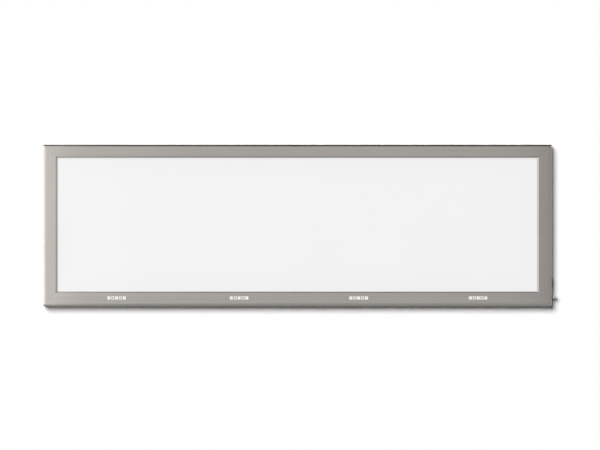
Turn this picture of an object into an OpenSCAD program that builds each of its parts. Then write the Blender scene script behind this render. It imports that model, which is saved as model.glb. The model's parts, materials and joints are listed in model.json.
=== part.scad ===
// Wall-mounted film viewer: four lit banks behind one opal screen, in a mitred aluminium frame.
// +X is the viewer's right, +Z is up and the front faces -Y.
// The origin is midway between the two keyholes, in the plane of the hanger plates' rear faces.

/* [Overall] */
// Overall width of the frame
body_w = 1640; // [1500:10:1900]
// Overall height of the frame
body_h = 520; // [480:5:600]
// Depth of the frame, front face to rear edge
body_d = 38; // [38:1:50]

/* [Frame bars] */
// Width of the left and right bars, outer edge to window
side_bar_w = 47; // [46:0.5:52]
// Width of the top bar, outer edge to window
top_bar_w = 42.5; // [42:0.5:52]
// Width of the bottom bar, outer edge to window
bottom_bar_w = 46.5; // [46:0.5:52]
// Wall of the extruded bars
bar_wall = 1.8; // [1.5:0.1:2]
// Radius of the outer front edge
outer_r = 9; // [6:0.5:9]
// Radius of the edge beside the screen
inner_r = 6; // [5.5:0.5:7]
// Straight lip behind that edge
lip_l = 1.5; // [1.2:0.1:2]
// Reach of the rear rib, from the outer edge
rib_w = 12; // [11:0.5:13]
// Thickness of the rear rib
rib_t = 1.8; // [1.5:0.1:2]
// Length of a corner bracket's leg
bracket_leg = 55; // [45:1:60]
// Width of a corner bracket's leg
bracket_w = 10; // [8:0.5:11]
// Thickness of a corner bracket
bracket_t = 3; // [2:0.5:3.5]

/* [Screen and light] */
// Thickness of the opal screen
screen_t = 3; // [2:0.5:4]
// How far the tray round the screen reaches out under the bars
screen_lap = 10.6; // [9:0.2:11]
// Room for the screen to grow, at its top and at each side
screen_gap = 0.6; // [0.4:0.1:1]
// Thickness of the foam strips between lip and screen
seal_t = 1.5; // [1:0.1:2]
// Width of the foam strips
seal_w = 6; // [4:0.5:8]
// Thickness of the light guides
guide_t = 4; // [3:0.5:5]
// Running room round each light guide
guide_gap = 0.3; // [0.1:0.1:0.5]
// Thickness of the strips between the banks
divider_t = 1.2; // [0.8:0.1:2]
// Thickness of the reflector sheet
reflector_t = 0.5; // [0.3:0.1:0.8]
// Sheet thickness of the light tray
tray_t = 1.2; // [1:0.1:1.5]
// Light-emitting chips along one strip
chip_count = 25; // [15:1:30]
// Width of a chip
chip_w = 3.5; // [2:0.5:5]
// Height of a chip above its strip
chip_h = 1; // [0.6:0.1:1.2]
// Thickness of a light strip's board
strip_t = 1; // [0.8:0.1:1.2]

/* [Film grips] */
// Room left between two film rollers in a row
roller_space = 36.5; // [32:0.5:80]
// Outer radius of a film roller
roller_r = 2.5; // [2.2:0.1:2.6]
// Radius of its axle
axle_r = 1.5; // [1.2:0.1:1.6]
// Gap between a resting roller and the screen
roller_gap = 0.3; // [0.2:0.1:0.4]
// Height of a resting roller's middle above the window
roller_rise = 5.5; // [5:0.25:6.5]
// How far a roller rides up its slots
roller_lift = 4; // [3:0.5:5]
// Lean of the slots towards the front, in degrees
roller_lean = 18; // [10:1:20]
// Thickness of a cheek plate
cheek_t = 3; // [2:0.5:4]
// Width of a cheek plate, from the lip outwards
cheek_w = 14; // [13:0.5:18]

/* [Keys] */
// Width of a key cap
key_w = 10; // [8:0.2:10.4]
// Height of a key cap
key_h = 10.4; // [8:0.2:12]
// Pitch of the keys in a row
key_pitch = 12.5; // [12.5:0.1:14]
// Height of the keys' middle above the frame's lower edge
key_rise = 26; // [24:0.5:27]
// How far the caps stand proud of the frame
key_proud = 0.8; // [0.4:0.1:1.5]
// How far a key can be pressed
key_travel = 0.5; // [0.3:0.1:0.8]
// Clearance round a key cap
key_gap = 0.15; // [0.1:0.05:0.3]
// Width of the hollow in every second key cap
key_hollow_w = 5.4; // [3:0.2:6]
// Height of the posts behind the keys
key_post_l = 7.3; // [7:0.1:9]

/* [Mains side] */
// Depth of the switch, the fuse and the inlet behind the front face
mains_y = 20; // [19.5:0.5:21]
// Height of the switch above the lower edge
switch_rise = 71; // [68:1:120]
// Length of the switch's bezel
bezel_l = 42; // [40:1:46]
// Width of the switch's bezel
bezel_w = 19; // [17:0.5:20]
// Length of the rocker
rocker_l = 32; // [28:1:34]
// Width of the rocker
rocker_w = 12.6; // [10:0.2:12.6]
// Tilt of the rocker to either side, in degrees
rocker_tilt = 8; // [6:1:9]
// Height of the fuse above the lower edge
fuse_rise = 28; // [27:0.5:32]
// Radius of the fuse holder's threaded body
holder_r = 6.25; // [6:0.05:6.5]
// Length of the fuse cap's knob
fuse_knob_l = 12.5; // [8:0.5:14]
// Radius of the fuse cap's knob
fuse_knob_r = 5; // [4.5:0.1:6]
// Distance of the inlet's middle from the frame's right-hand edge
inlet_inset = 120; // [110:1:125]

/* [Rear] */
// Thickness of the back panel
panel_t = 1.2; // [1:0.1:1.5]
// Thickness of a hanger plate
hanger_t = 2; // [1.8:0.1:2.5]
// Distance of each keyhole from the frame's side edge
hang_inset = 220; // [210:2.5:230]
// Distance of the keyholes below the frame's upper edge
hang_drop = 60; // [55:1:80]
// Radius of a keyhole's round entry
keyhole_r = 5.5; // [4.5:0.25:6]
// Half the width of a keyhole's slot
keyhole_slot_r = 2.75; // [2:0.25:3]
// Length of a keyhole's slot
keyhole_slot_l = 12; // [9:0.5:14]
// Radius of a wall bumper
bumper_r = 8; // [6:0.5:10]
// How far the bumpers stand behind the frame
bumper_proud = 2; // [1:0.5:4]

/* [Fasteners] */
// Radius of the screws
screw_r = 1.5; // [1.3:0.05:1.6]
// Radius of a countersunk head
sunk_r = 2.85; // [2.6:0.05:3]
// Height of a countersunk head
sunk_h = 1.5; // [1.2:0.05:1.7]
// Radius of a pan head
pan_r = 2.8; // [2.4:0.1:3.2]
// Height of a pan head
pan_h = 1.4; // [1:0.1:1.6]
// Clearance round a screw
screw_gap = 0.1; // [0.05:0.05:0.2]

/* [Hidden] */
// Counts: film banks side by side, and keys under each
banks = 4;
keys = 5;
key_names = ["on_off", "dim", "preset", "bright", "auto"];

// Each row of keys lies this far right of its bank's middle, as a share of the bank's width
key_row_shares = [-0.0056, 0.0149, 0.011, 0.0071];

// Facets of a quarter round on an extruded bar, and of every drilled or turned surface
arc_steps = 8;
round_fn = 48;
// Screws fill this share of a blind hole
screw_depth_share = 0.8;
// Cuts run past the faces that they open by this much
overrun = 1;
// Clearances: bored and sliding fits, seated metal parts, cables over the parts that they pass
slide_gap = 0.1;
fit_gap = 0.2;
wire_gap = 0.2;

// Depths behind the front face
screen_y = inner_r + lip_l + seal_t;
guide_y = screen_y + screen_t;
reflector_y = guide_y + guide_t;
tray_y = reflector_y + reflector_t;
tray_back_y = tray_y + tray_t;
panel_y = body_d - hanger_t - panel_t;
panel_back_y = panel_y + panel_t;
rib_y = panel_y - rib_t;

// The window that the bars leave open, and the tray's inner walls round it
window_x = body_w / 2 - side_bar_w;
window_z = [bottom_bar_w, body_h - top_bar_w];
tray_x = window_x + screen_lap;
tray_z = [window_z[0] - screen_lap, window_z[1] + screen_lap];
bank_w = 2 * window_x / banks;
bottom_wall = bar_wall * bottom_bar_w / side_bar_w;
top_wall = bar_wall * top_bar_w / side_bar_w;

// Corner brackets lie in front of the rib; their screws stand at these shares of a leg
bracket_edge = bar_wall + fit_gap;
bracket_hole_shares = [0.45, 0.85];
bracket_screw_l = rib_t + bracket_t - sunk_h / 4;

// The edge-lit stack between the strips
guide_z = [tray_z[0] + strip_t + chip_h + guide_gap, tray_z[1] - strip_t - chip_h - guide_gap];
strip_share = 0.96;
strip_l = bank_w * strip_share;
chip_field_share = 0.96;
chip_depth_share = 0.7;
strip_tab_w = 10;
strip_tab_l = 3.6;
strip_plug_w = 8;
strip_plug_h = 3;
strip_plug_shift = 60;
strip_plug_y = tray_back_y + strip_tab_l;
strip_plug_z = strip_t + strip_plug_h / 2;

// Film grip: the roller's length and the resting axle's place
roller_l = bank_w - roller_space;
axle_y = screen_y - roller_gap - roller_r;
axle_z = window_z[1] + roller_rise;
axle_end = 1;
roller_end_gap = 0.5;
cheek_x = roller_l / 2 + roller_end_gap;
cheek_z = [window_z[1] + top_wall, window_z[1] + cheek_w];
cheek_gap = 0.3;

// Keys and the boards behind them
key_flange = 0.65;
key_flange_t = 1;
key_stem_r = 1.6;
key_stem_in = 0.7;
key_hollow_d = 0.4;
switch_w = 6;
switch_h = 3.5;
key_board_t = 1.6;
key_board_h = 18;
key_board_z = key_rise - key_stem_r;
key_board_y = bar_wall + key_post_l;
key_post_r = 2.5;
key_post_x = (keys - 1) / 2 * key_pitch + key_w / 2 + key_flange + key_post_r + 3 * fit_gap;
key_board_w = 2 * (key_post_x + 2 * key_post_r);
key_plug_w = 10;
key_plug_h = 5;
key_plug_l = 4;
key_board_back_y = key_board_y + key_board_t;
key_plug_y = key_board_back_y + key_plug_l;
board_screw_r = 1.1;
board_screw_head_r = 2.2;
board_screw_l = 5;

// Posts between the tray or the dimmer board and the back panel
standoff_r = 4;
standoff_bore_l = 8;
standoff_x_shares = [-0.43, -0.215, 0, 0.215, 0.43];
standoff_z_shares = [0.25, 0.75];

// Power supply, halfway up behind the fourth bank
supply_w = 200;
supply_h = 60;
supply_d = 16;
supply_wall = 1;
supply_x = bank_x(3) - supply_w / 5;
supply_z = body_h / 2;
supply_boss_l = 4;
supply_vent_w = 2.5;
supply_vent_d = 8;
supply_vents = 8;
capacitor_shares = [-0.3, -0.2, 0.15, 0.3];

// Dimmer board, in the middle
dimmer_w = 180;
dimmer_h = 60;
dimmer_post_l = 6;
dimmer_bore_l = 5;
dimmer_z = body_h / 2;
dimmer_plug_w = 8;
dimmer_plug_h = 4;
dimmer_plug_l = 6;
circuit_t = 1.6;
circuit_y = panel_y - dimmer_post_l - circuit_t;
dimmer_post_x = dimmer_w / 2 - standoff_r;
dimmer_post_z = dimmer_h / 2 - standoff_r;

// Mains parts on the frame's right-hand and lower sides
side_x = body_w / 2;
bezel_t = 1.8;
housing_l = 38;
housing_w = 15;
housing_d = 24;
well_l = 34.8;
well_w = rocker_w + 6 * slide_gap;
well_d = 13.5;
pivot_in = 4;
rocker_t = 4.5;
rocker_apex = 0.4;
rocker_hub_r = 4.2;
rocker_pin_r = 1.5;
rocker_pin_l = 0.9;
blade_l = 6;
blade_t = 0.8;
blade_w = 4;
blade_rise = 10;
holder_l = 30;
holder_bore_r = 4.1;
holder_floor = 2;
collar_r = 7;
collar_t = 3;
nut_across = 17;
nut_t = 3;
fuse_sleeve_l = 11;
fuse_clip_l = 6;
fuse_r = 2.6;
fuse_l = 20;
fuse_cap_l = 5;
fuse_glass_r = 2.4;
knob_slot_w = 1.2;
knob_slot_d = 1;
fuse_blade_l = 5;
fuse_blade_w = 3;
fuse_blade_rise = 2.2;
inlet_x = side_x - inlet_inset;
inlet_w = 27.5;
inlet_d = 20;
inlet_h = 24;
inlet_flange_w = 48;
inlet_flange_d = 22;
inlet_flange_t = 2.5;
inlet_wall = 1.5;
inlet_socket_h = 17;
inlet_corner = 5;
inlet_pin_w = 4;
inlet_pin_d = 2;
inlet_pin_l = 11;
inlet_pin_x = 7;
inlet_pin_y = 2;
inlet_screw_x = 20;

// Rear panel: its edge, vents, screws, hanger plates and bumpers
panel_edge = bar_wall + fit_gap;
vents = 12;
vent_w = 3;
vent_l = 40;
vent_pitch = 9;
vent_z_shares = [0.17, 0.71];
panel_screw_inset = 85;
panel_screws = 8;
panel_screw_z_shares = [0.25, 0.5, 0.75];
panel_screw_l = 5;
rib_mid = (bar_wall + rib_w) / 2;
hang_spacing = body_w - 2 * hang_inset;
hang_rise = body_h - hang_drop;
hanger_w = 60;
hanger_drop = 34;
hanger_screw_x = 20;
hanger_screw_l = 6.5;
hanger_screw_edge = 8;
hanger_screw_z = hang_rise - hanger_drop + hanger_screw_edge;
clinch_r = 3.5;
clinch_l = 3;
keyhole_room = 8;
bumper_inset_x = 82;
bumper_inset_z = 60;

// Cables: sheath radius, sides, and where they run
wire_r = 1.5;
mains_wire_r = 1.2;
strip_wire_r = 1.3;
wire_sides = 6;
wire_y = panel_y - wire_r - wire_gap;
plug_y = circuit_y - dimmer_plug_h / 2;
lane_z = 60;
lane_pitch = 8;
upper_lane_rise = 14;
plug_pitch = 15;
plug_start = 25;

function key_name(bank, key) = str("bank_", bank + 1, "_", key_names[key], "_key");
function span(middle, width) = [middle - width / 2, middle + width / 2];
function run(start, length) = [start, start + length];
function bank_x(bank) = (bank + 1 / 2) * bank_w - window_x;
function key_row_x(bank) = bank_x(bank) + key_row_shares[bank] * bank_w;
function key_x(bank, key) = key_row_x(bank) + (key - (keys - 1) / 2) * key_pitch;
function strip_plug_x(bank) = bank_x(bank) + strip_plug_shift;
function turned(a) = [cos(a), sin(a)];
function arc(centre, r, a, b) = [for (i = [0 : arc_steps]) centre + r * turned(a + (b - a) * i / arc_steps)];

// Section of a bar of the given width, as [depth, distance from the outer edge]
function bar_section(w) =
  let (side = concat(
    arc([outer_r, outer_r], outer_r, 270, 180),
    arc([inner_r, side_bar_w - inner_r], inner_r, 180, 90),
    [[inner_r + lip_l, side_bar_w], [inner_r + lip_l, side_bar_w - bar_wall]],
    arc([inner_r, side_bar_w - inner_r], inner_r - bar_wall, 90, 180),
    arc([outer_r, outer_r], outer_r - bar_wall, 180, 270),
    [[rib_y, bar_wall], [rib_y, rib_w], [panel_y, rib_w], [panel_y, bar_wall]],
    [[body_d, bar_wall], [body_d, 0]]))
  [for (p = side) [p.x, p.y * w / side_bar_w]];

// Everything is drawn with y counted back from the front face and z up from the lower edge
module placed() translate([0, -body_d, -hang_rise]) children();

module block(x, y, z) translate([x[0], y[0], z[0]]) cube([x[1] - x[0], y[1] - y[0], z[1] - z[0]]);

module rod_x(x, y, z, r, fn = round_fn)
  translate([x[0], y, z]) rotate([0, 90, 0]) cylinder(h = x[1] - x[0], r = r, $fn = fn);

module rod_y(x, y, z, r, fn = round_fn)
  translate([x, y[0], z]) rotate([-90, 0, 0]) cylinder(h = y[1] - y[0], r = r, $fn = fn);

module rod_z(x, y, z, r) translate([x, y, z[0]]) cylinder(h = z[1] - z[0], r = r, $fn = round_fn);

// The tapered head of a countersunk screw, from its flat face up
module sunk_head(gap) cylinder(h = sunk_h, r1 = sunk_r + gap, r2 = screw_r + gap, $fn = round_fn);

module along_x(x) translate([x[0], 0, 0]) rotate([90, 0, 90]) linear_extrude(x[1] - x[0]) children();

module along_y(y) translate([0, y[1], 0]) rotate([90, 0, 0]) linear_extrude(y[1] - y[0]) children();

// A countersunk screw whose head lies flush in the plane y, or with a gap the hole for it
module sunk_screw(x, y, z, length, gap = 0) {
  translate([x, y, z]) rotate([90, 0, 0]) sunk_head(gap);
  rod_y(x, [y - length - gap, y - sunk_h / 2], z, screw_r + gap);
}

// A pan-head screw driven forwards from the plane y
module pan_screw(x, y, z, length, r = screw_r, head_r = pan_r) {
  rod_y(x, [y - length, y], z, r);
  rod_y(x, [y, y + pan_h], z, head_r);
}

module at_corners() for (left = [0, 1], upper = [0, 1])
  mirror([left, 0, 0]) translate([body_w / 2, 0, body_h / 2]) mirror([0, 0, upper]) mirror([1, 0, 0])
    translate([0, 0, -body_h / 2]) children();

// Frame bars

module mitre(w, end_w) along_y([-overrun, body_d + overrun])
  polygon([[-end_w / 2, -w / 2], [end_w * 3 / 2, w * 3 / 2], [-end_w / 2, w * 3 / 2]]);

module bar(length, w, left_w, right_w) difference() {
  along_x(span(0, length)) polygon(bar_section(w));
  translate([-length / 2, 0, 0]) mitre(w, left_w);
  mirror([1, 0, 0]) translate([-length / 2, 0, 0]) mitre(w, right_w);
}

module bracket_screws(gap = 0) at_corners() for (share = bracket_hole_shares) {
  sunk_screw(bracket_leg * share, panel_y, rib_mid, bracket_screw_l, gap);
  sunk_screw(rib_mid, panel_y, bracket_leg * share, bracket_screw_l, gap);
}

module rib_holes() {
  bracket_screws(screw_gap);
  for (p = panel_screw_places()) rod_y(p.x, [rib_y - overrun, panel_y + overrun], p.y, screw_r + screw_gap);
  for (p = hanger_screw_places()) rod_y(p.x, [rib_y - overrun, panel_y + overrun], p.y, screw_r + screw_gap);
}

module frame_top() color([0.63, 0.61, 0.59]) placed() difference() {
  translate([0, 0, body_h]) mirror([0, 0, 1]) bar(body_w, top_bar_w, side_bar_w, side_bar_w);
  rib_holes();
}

module frame_bottom() color([0.63, 0.61, 0.59]) placed() difference() {
  bar(body_w, bottom_bar_w, side_bar_w, side_bar_w);
  rib_holes();
  for (bank = [0 : banks - 1], key = [0 : keys - 1])
    block(span(key_x(bank, key), key_w + 2 * key_gap), [-overrun, bar_wall + overrun],
      span(key_rise, key_h + 2 * key_gap));
  block(span(inlet_x, inlet_w + fit_gap), span(mains_y, inlet_d + fit_gap),
    [-overrun, bottom_wall + overrun]);
  inlet_screws(screw_gap);
}

module side_bar() translate([-body_w / 2, 0, body_h / 2]) rotate([0, 90, 0])
  bar(body_h, side_bar_w, top_bar_w, bottom_bar_w);

module frame_left() color([0.7, 0.68, 0.67]) placed() difference() {
  side_bar();
  rib_holes();
}

module frame_right() color([0.56, 0.54, 0.53]) placed() difference() {
  mirror([1, 0, 0]) side_bar();
  rib_holes();
  block([side_x - bar_wall - overrun, side_x + overrun], span(mains_y, housing_w + fit_gap),
    span(switch_rise, housing_l + fit_gap));
  rod_x([side_x - bar_wall - overrun, side_x + overrun], mains_y, fuse_rise, holder_r + fit_gap / 2);
}

module corner_brackets() color([0.75, 0.75, 0.76]) placed() difference() {
  at_corners() {
    block(run(bracket_edge, bracket_leg), [rib_y - bracket_t, rib_y], run(bracket_edge, bracket_w));
    block(run(bracket_edge, bracket_w), [rib_y - bracket_t, rib_y], run(bracket_edge, bracket_leg));
  }
  at_corners() for (share = bracket_hole_shares) {
    through = [rib_y - bracket_t - overrun, rib_y + overrun];
    rod_y(bracket_leg * share, through, rib_mid, screw_r + screw_gap);
    rod_y(rib_mid, through, bracket_leg * share, screw_r + screw_gap);
  }
}

module inlet_screws(gap = 0) for (side = [-1, 1]) translate([inlet_x + side * inlet_screw_x, mains_y, 0]) {
  sunk_head(gap);
  rod_z(0, 0, [sunk_h / 2, bottom_wall + inlet_flange_t], screw_r + gap);
}

module frame_screws() color([0.35, 0.35, 0.36]) placed() {
  bracket_screws();
  inlet_screws();
}

// Screen, seals and the edge-lit stack

module diffuser_screen() color([0.96, 0.96, 0.96]) placed()
  block(span(0, 2 * (tray_x - screen_gap)), run(screen_y, screen_t), [tray_z[0], tray_z[1] - screen_gap]);

module screen_seals() color([0.25, 0.25, 0.26]) placed() {
  seal_edge = bar_wall / 4;
  y = [screen_y - seal_t, screen_y];
  lower = window_z[0] - seal_edge;
  block(span(0, 2 * (window_x + seal_edge)), y, [lower - seal_w, lower]);
  for (side = [0, 1]) mirror([side, 0, 0])
    block(run(window_x + seal_edge, seal_w), y, [lower - seal_w, cheek_z[0] - fit_gap]);
}

module light_guides() color([0.85, 0.9, 0.92]) placed() for (bank = [0 : banks - 1]) {
  low = bank == 0 ? -tray_x + screen_gap : bank_x(bank) - bank_w / 2 + divider_t / 2;
  high = bank == banks - 1 ? tray_x - screen_gap : bank_x(bank) + bank_w / 2 - divider_t / 2;
  block([low, high], [guide_y, reflector_y], guide_z);
}

module bank_dividers() color("white") placed() for (bank = [1 : banks - 1])
  block(span(bank_x(bank) - bank_w / 2, divider_t), [guide_y, reflector_y], guide_z);

module reflector_sheet() color("white") placed()
  block(span(0, 2 * (tray_x - screen_gap)), [reflector_y, tray_y], guide_z);

module light_tray() color([0.8, 0.81, 0.82]) placed() difference() {
  block(span(0, 2 * (tray_x + tray_t)), [screen_y, tray_back_y], [tray_z[0] - tray_t, tray_z[1] + tray_t]);
  block(span(0, 2 * tray_x), [screen_y - overrun, tray_y], tray_z);
  slot_h = strip_t + fit_gap;
  through = [tray_y - overrun, tray_back_y + overrun];
  for (bank = [0 : banks - 1], low = [tray_z[0], tray_z[1] - slot_h])
    block(span(strip_plug_x(bank), strip_tab_w + 2 * fit_gap), through, run(low, slot_h));
}

// One strip lying on the tray's lower flange, for the given bank
module led_strip(bank) {
  board = run(0, strip_t);
  block(span(bank_x(bank), strip_l), [guide_y, tray_y - fit_gap], board);
  block(span(strip_plug_x(bank), strip_tab_w), [guide_y, strip_plug_y], board);
  block(span(strip_plug_x(bank), strip_plug_w), span(strip_plug_y - strip_plug_h / 2, strip_plug_h),
    run(strip_t, strip_plug_h));
  chip_pitch = strip_l * chip_field_share / (chip_count - 1) * (1 - chip_w / strip_l);
  for (i = [0 : chip_count - 1])
    block(span(bank_x(bank) + (i - (chip_count - 1) / 2) * chip_pitch, chip_w),
      span((guide_y + reflector_y) / 2, guide_t * chip_depth_share), run(strip_t, chip_h));
}

module led_strips() color([0.92, 0.88, 0.6]) placed() for (bank = [0 : banks - 1]) {
  translate([0, 0, tray_z[0]]) led_strip(bank);
  translate([0, 0, tray_z[1]]) mirror([0, 0, 1]) led_strip(bank);
}

// Film grips

module at_cheeks() for (bank = [0 : banks - 1], side = [0, 1])
  translate([bank_x(bank), 0, 0]) mirror([side, 0, 0]) children();

module roller_cheeks() color([0.9, 0.9, 0.88]) placed() at_cheeks() difference() {
  back = screen_y - cheek_gap;
  along_x(run(cheek_x, cheek_t)) polygon([
    [bar_wall, window_z[1] + inner_r], [bar_wall, cheek_z[1]], [back, cheek_z[1]],
    [back, cheek_z[0]], [inner_r, cheek_z[0]]]);
  slot_r = axle_r + slide_gap;
  x = [cheek_x - overrun, cheek_x + cheek_t + overrun];
  translate([0, axle_y, axle_z]) rotate([roller_lean, 0, 0]) {
    rod_x(x, 0, 0, slot_r);
    rod_x(x, 0, roller_lift, slot_r);
    block(x, [-slot_r, slot_r], [0, roller_lift]);
  }
}

module roller_axle(bank) color([0.7, 0.7, 0.72]) placed()
  rod_x(span(bank_x(bank), 2 * (cheek_x + cheek_t + axle_end)), axle_y, axle_z, axle_r);

module film_roller(bank) color([0.93, 0.93, 0.9]) placed() difference() {
  rod_x(span(bank_x(bank), roller_l), axle_y, axle_z, roller_r);
  rod_x(span(bank_x(bank), roller_l + 2 * overrun), axle_y, axle_z, axle_r + slide_gap / 2);
}

// Keys

module key_cap(bank, key) color(key % 2 == 0 ? [0.95, 0.95, 0.95] : [0.8, 0.8, 0.8]) placed()
  translate([key_x(bank, key), 0, key_rise]) difference() {
    union() {
      block(span(0, key_w), [-key_proud, bar_wall + key_flange_t / 2], span(0, key_h));
      block(span(0, key_w + 2 * key_flange), run(bar_wall, key_flange_t), span(0, key_h + 2 * key_flange));
      rod_y(0, [bar_wall, key_board_y - switch_h + key_stem_in], 0, key_stem_r);
    }
    if (key % 2 == 1)
      block(span(0, key_hollow_w), [-key_proud - overrun, key_hollow_d - key_proud], span(0, key_hollow_w));
  }

module at_key_posts(bank) for (side = [-1, 1])
  translate([key_row_x(bank) + side * key_post_x, 0, key_board_z]) children();

module key_board_posts() for (bank = [0 : banks - 1]) at_key_posts(bank) difference() {
  rod_y(0, [bar_wall, key_board_y], 0, key_post_r);
  rod_y(0, [key_board_y - board_screw_l, key_board_y + overrun], 0, board_screw_r + slide_gap);
}

module key_boards() color([0.1, 0.35, 0.2]) placed() for (bank = [0 : banks - 1]) {
  difference() {
    block(span(key_row_x(bank), key_board_w), [key_board_y, key_board_back_y],
      span(key_board_z, key_board_h));
    at_key_posts(bank)
      rod_y(0, [key_board_y - overrun, key_board_back_y + overrun], 0, board_screw_r + slide_gap);
  }
  block(span(key_row_x(bank), key_plug_w), [key_board_back_y, key_plug_y], span(key_board_z, key_plug_h));
}

module key_switches() color([0.15, 0.15, 0.16]) placed() for (bank = [0 : banks - 1], key = [0 : keys - 1])
  translate([key_x(bank, key), key_board_y - switch_h, key_rise]) difference() {
    block(span(0, switch_w), [0, switch_h], span(0, switch_w));
    rod_y(0, [-overrun, key_stem_in + key_travel + fit_gap], 0, key_stem_r + slide_gap);
  }

module key_board_screws() color([0.7, 0.7, 0.72]) placed() for (bank = [0 : banks - 1]) at_key_posts(bank)
  pan_screw(0, key_board_back_y, 0, key_board_t + board_screw_l * screw_depth_share, board_screw_r,
    board_screw_head_r);

// Posts, power supply and dimmer

function standoff_places() =
  [for (x = standoff_x_shares, z = standoff_z_shares) [x * body_w, z * body_h]];

function dimmer_post_places() =
  [for (x = [-1, 1], z = [-1, 1]) [x * dimmer_post_x, dimmer_z + z * dimmer_post_z]];

function supply_boss_places() =
  [for (x = span(supply_x, supply_w - 4 * standoff_r), z = span(supply_z, supply_h - 4 * standoff_r)) [x, z]];

module standoffs() color([0.78, 0.7, 0.45]) placed() {
  key_board_posts();
  for (p = standoff_places()) difference() {
    rod_y(p.x, [tray_back_y, panel_y], p.y, standoff_r, 6);
    rod_y(p.x, [panel_y - standoff_bore_l, panel_y + overrun], p.y, screw_r + screw_gap);
  }
  for (p = dimmer_post_places()) difference() {
    rod_y(p.x, [circuit_y + circuit_t, panel_y], p.y, standoff_r, 6);
    rod_y(p.x, [panel_y - dimmer_bore_l, panel_y + overrun], p.y, screw_r + screw_gap);
  }
}

module power_supply_case() color([0.72, 0.73, 0.74]) placed() {
  difference() {
    block(span(supply_x, supply_w), [panel_y - supply_d, panel_y], span(supply_z, supply_h));
    block(span(supply_x, supply_w - 2 * supply_wall), [panel_y - supply_d - overrun, panel_y - supply_wall],
      span(supply_z, supply_h - 2 * supply_wall));
    vent_step = supply_w / (supply_vents + 1);
    for (i = [0 : supply_vents - 1])
      block(span(supply_x + (i - (supply_vents - 1) / 2) * vent_step, supply_vent_w),
        span(panel_y - supply_d / 2, supply_vent_d), span(supply_z, supply_h + 2 * overrun));
    for (p = supply_boss_places())
      rod_y(p.x, [panel_y - supply_wall - overrun, panel_y + overrun], p.y, screw_r + screw_gap);
  }
  for (p = supply_boss_places()) difference() {
    floor_y = panel_y - supply_wall;
    rod_y(p.x, [floor_y - supply_boss_l, floor_y], p.y, standoff_r);
    rod_y(p.x, [floor_y - supply_boss_l - overrun, panel_y + overrun], p.y, screw_r + screw_gap);
  }
}

module power_supply_board() color([0.55, 0.42, 0.2]) placed() {
  back = panel_y - supply_wall - supply_boss_l;
  face = back - circuit_t;
  high = supply_d - supply_wall - supply_boss_l - circuit_t - fit_gap;
  block(span(supply_x, supply_w - 2 * standoff_r), [face, back], span(supply_z, supply_h - 2 * standoff_r));
  block(span(supply_x, supply_w / 8), [face - high, face], span(supply_z, supply_h / 3));
  for (side = [-1, 1]) {
    block(span(supply_x + side * supply_w / 4, supply_w / 3), [face - high, face],
      span(supply_z - side * supply_h / 4, 2 * supply_wall));
    block(span(supply_x + side * (supply_w / 2 - 2 * standoff_r), supply_w / 20), [face - high / 2, face],
      span(supply_z, supply_h / 2));
  }
  for (share = capacitor_shares)
    rod_y(supply_x + share * supply_w, [face - high, face], supply_z, supply_h / 12);
}

module dimmer_board() color([0.1, 0.3, 0.5]) placed() {
  block(span(0, dimmer_w), run(circuit_y, circuit_t), span(dimmer_z, dimmer_h));
  y = [circuit_y - dimmer_plug_h, circuit_y];
  low = dimmer_z - dimmer_h / 2;
  for (i = [0 : banks - 1], side = [-1, 1])
    block(span(side * (plug_start + i * plug_pitch), dimmer_plug_w), y, run(low, dimmer_plug_l));
  for (i = [0 : banks / 2 - 1], side = [-1, 1])
    block(span(side * (plug_start + i * plug_pitch), dimmer_plug_w), y,
      [low + dimmer_h - dimmer_plug_l, low + dimmer_h]);
  block([dimmer_w / 2 - dimmer_plug_l, dimmer_w / 2], y, span(dimmer_z, dimmer_plug_w));
  block(span(0, dimmer_h / 5), [circuit_y - circuit_t, circuit_y], span(dimmer_z, dimmer_h / 5));
  for (i = [0 : banks - 1])
    block(span((i - (banks - 1) / 2) * dimmer_w / 6, dimmer_w / 20), y,
      span(dimmer_z + dimmer_h / 6, dimmer_h / 10));
}

// Mains parts

module mains_inlet() color([0.12, 0.12, 0.13]) placed() translate([inlet_x, mains_y, 0]) {
  difference() {
    union() {
      block(span(0, inlet_w), span(0, inlet_d), [0, inlet_h]);
      block(span(0, inlet_flange_w), span(0, inlet_flange_d), run(bottom_wall, inlet_flange_t));
    }
    translate([0, 0, -overrun]) linear_extrude(inlet_socket_h + overrun) inlet_outline();
    for (side = [-1, 1]) rod_z(side * inlet_screw_x, 0, [0, inlet_h], screw_r + screw_gap);
  }
  for (p = inlet_pin_places()) {
    block(span(p.x, inlet_pin_w), span(p.y, inlet_pin_d), run(inlet_socket_h - inlet_pin_l, inlet_pin_l));
    block(span(p.x, blade_w), span(p.y, blade_t), run(inlet_h, blade_l));
  }
}

function inlet_pin_places() =
  [for (side = [-1, 0, 1]) [side * inlet_pin_x, (side == 0 ? -1 : 1) * inlet_pin_y]];

module inlet_outline() {
  x = inlet_w / 2 - inlet_wall;
  y = inlet_d / 2 - inlet_wall;
  polygon([[-x, y], [x, y], [x, inlet_corner - y], [x - inlet_corner, -y], [inlet_corner - x, -y],
    [-x, inlet_corner - y]]);
}

module switch_housing() color([0.08, 0.08, 0.09]) placed()
  translate([side_x, mains_y, switch_rise]) difference() {
    union() {
      block([0, bezel_t], span(0, bezel_w), span(0, bezel_l));
      block([-housing_d, bezel_t / 2], span(0, housing_w), span(0, housing_l));
      for (side = [-1, 1])
        block([-housing_d - blade_l, -housing_d / 2], span(0, blade_w), span(side * blade_rise, blade_t));
    }
    block([-well_d, bezel_t + overrun], span(0, well_w), span(0, well_l));
    rod_y(-pivot_in, span(0, well_w + 2 * rocker_pin_l), 0, rocker_pin_r + slide_gap);
  }

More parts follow.
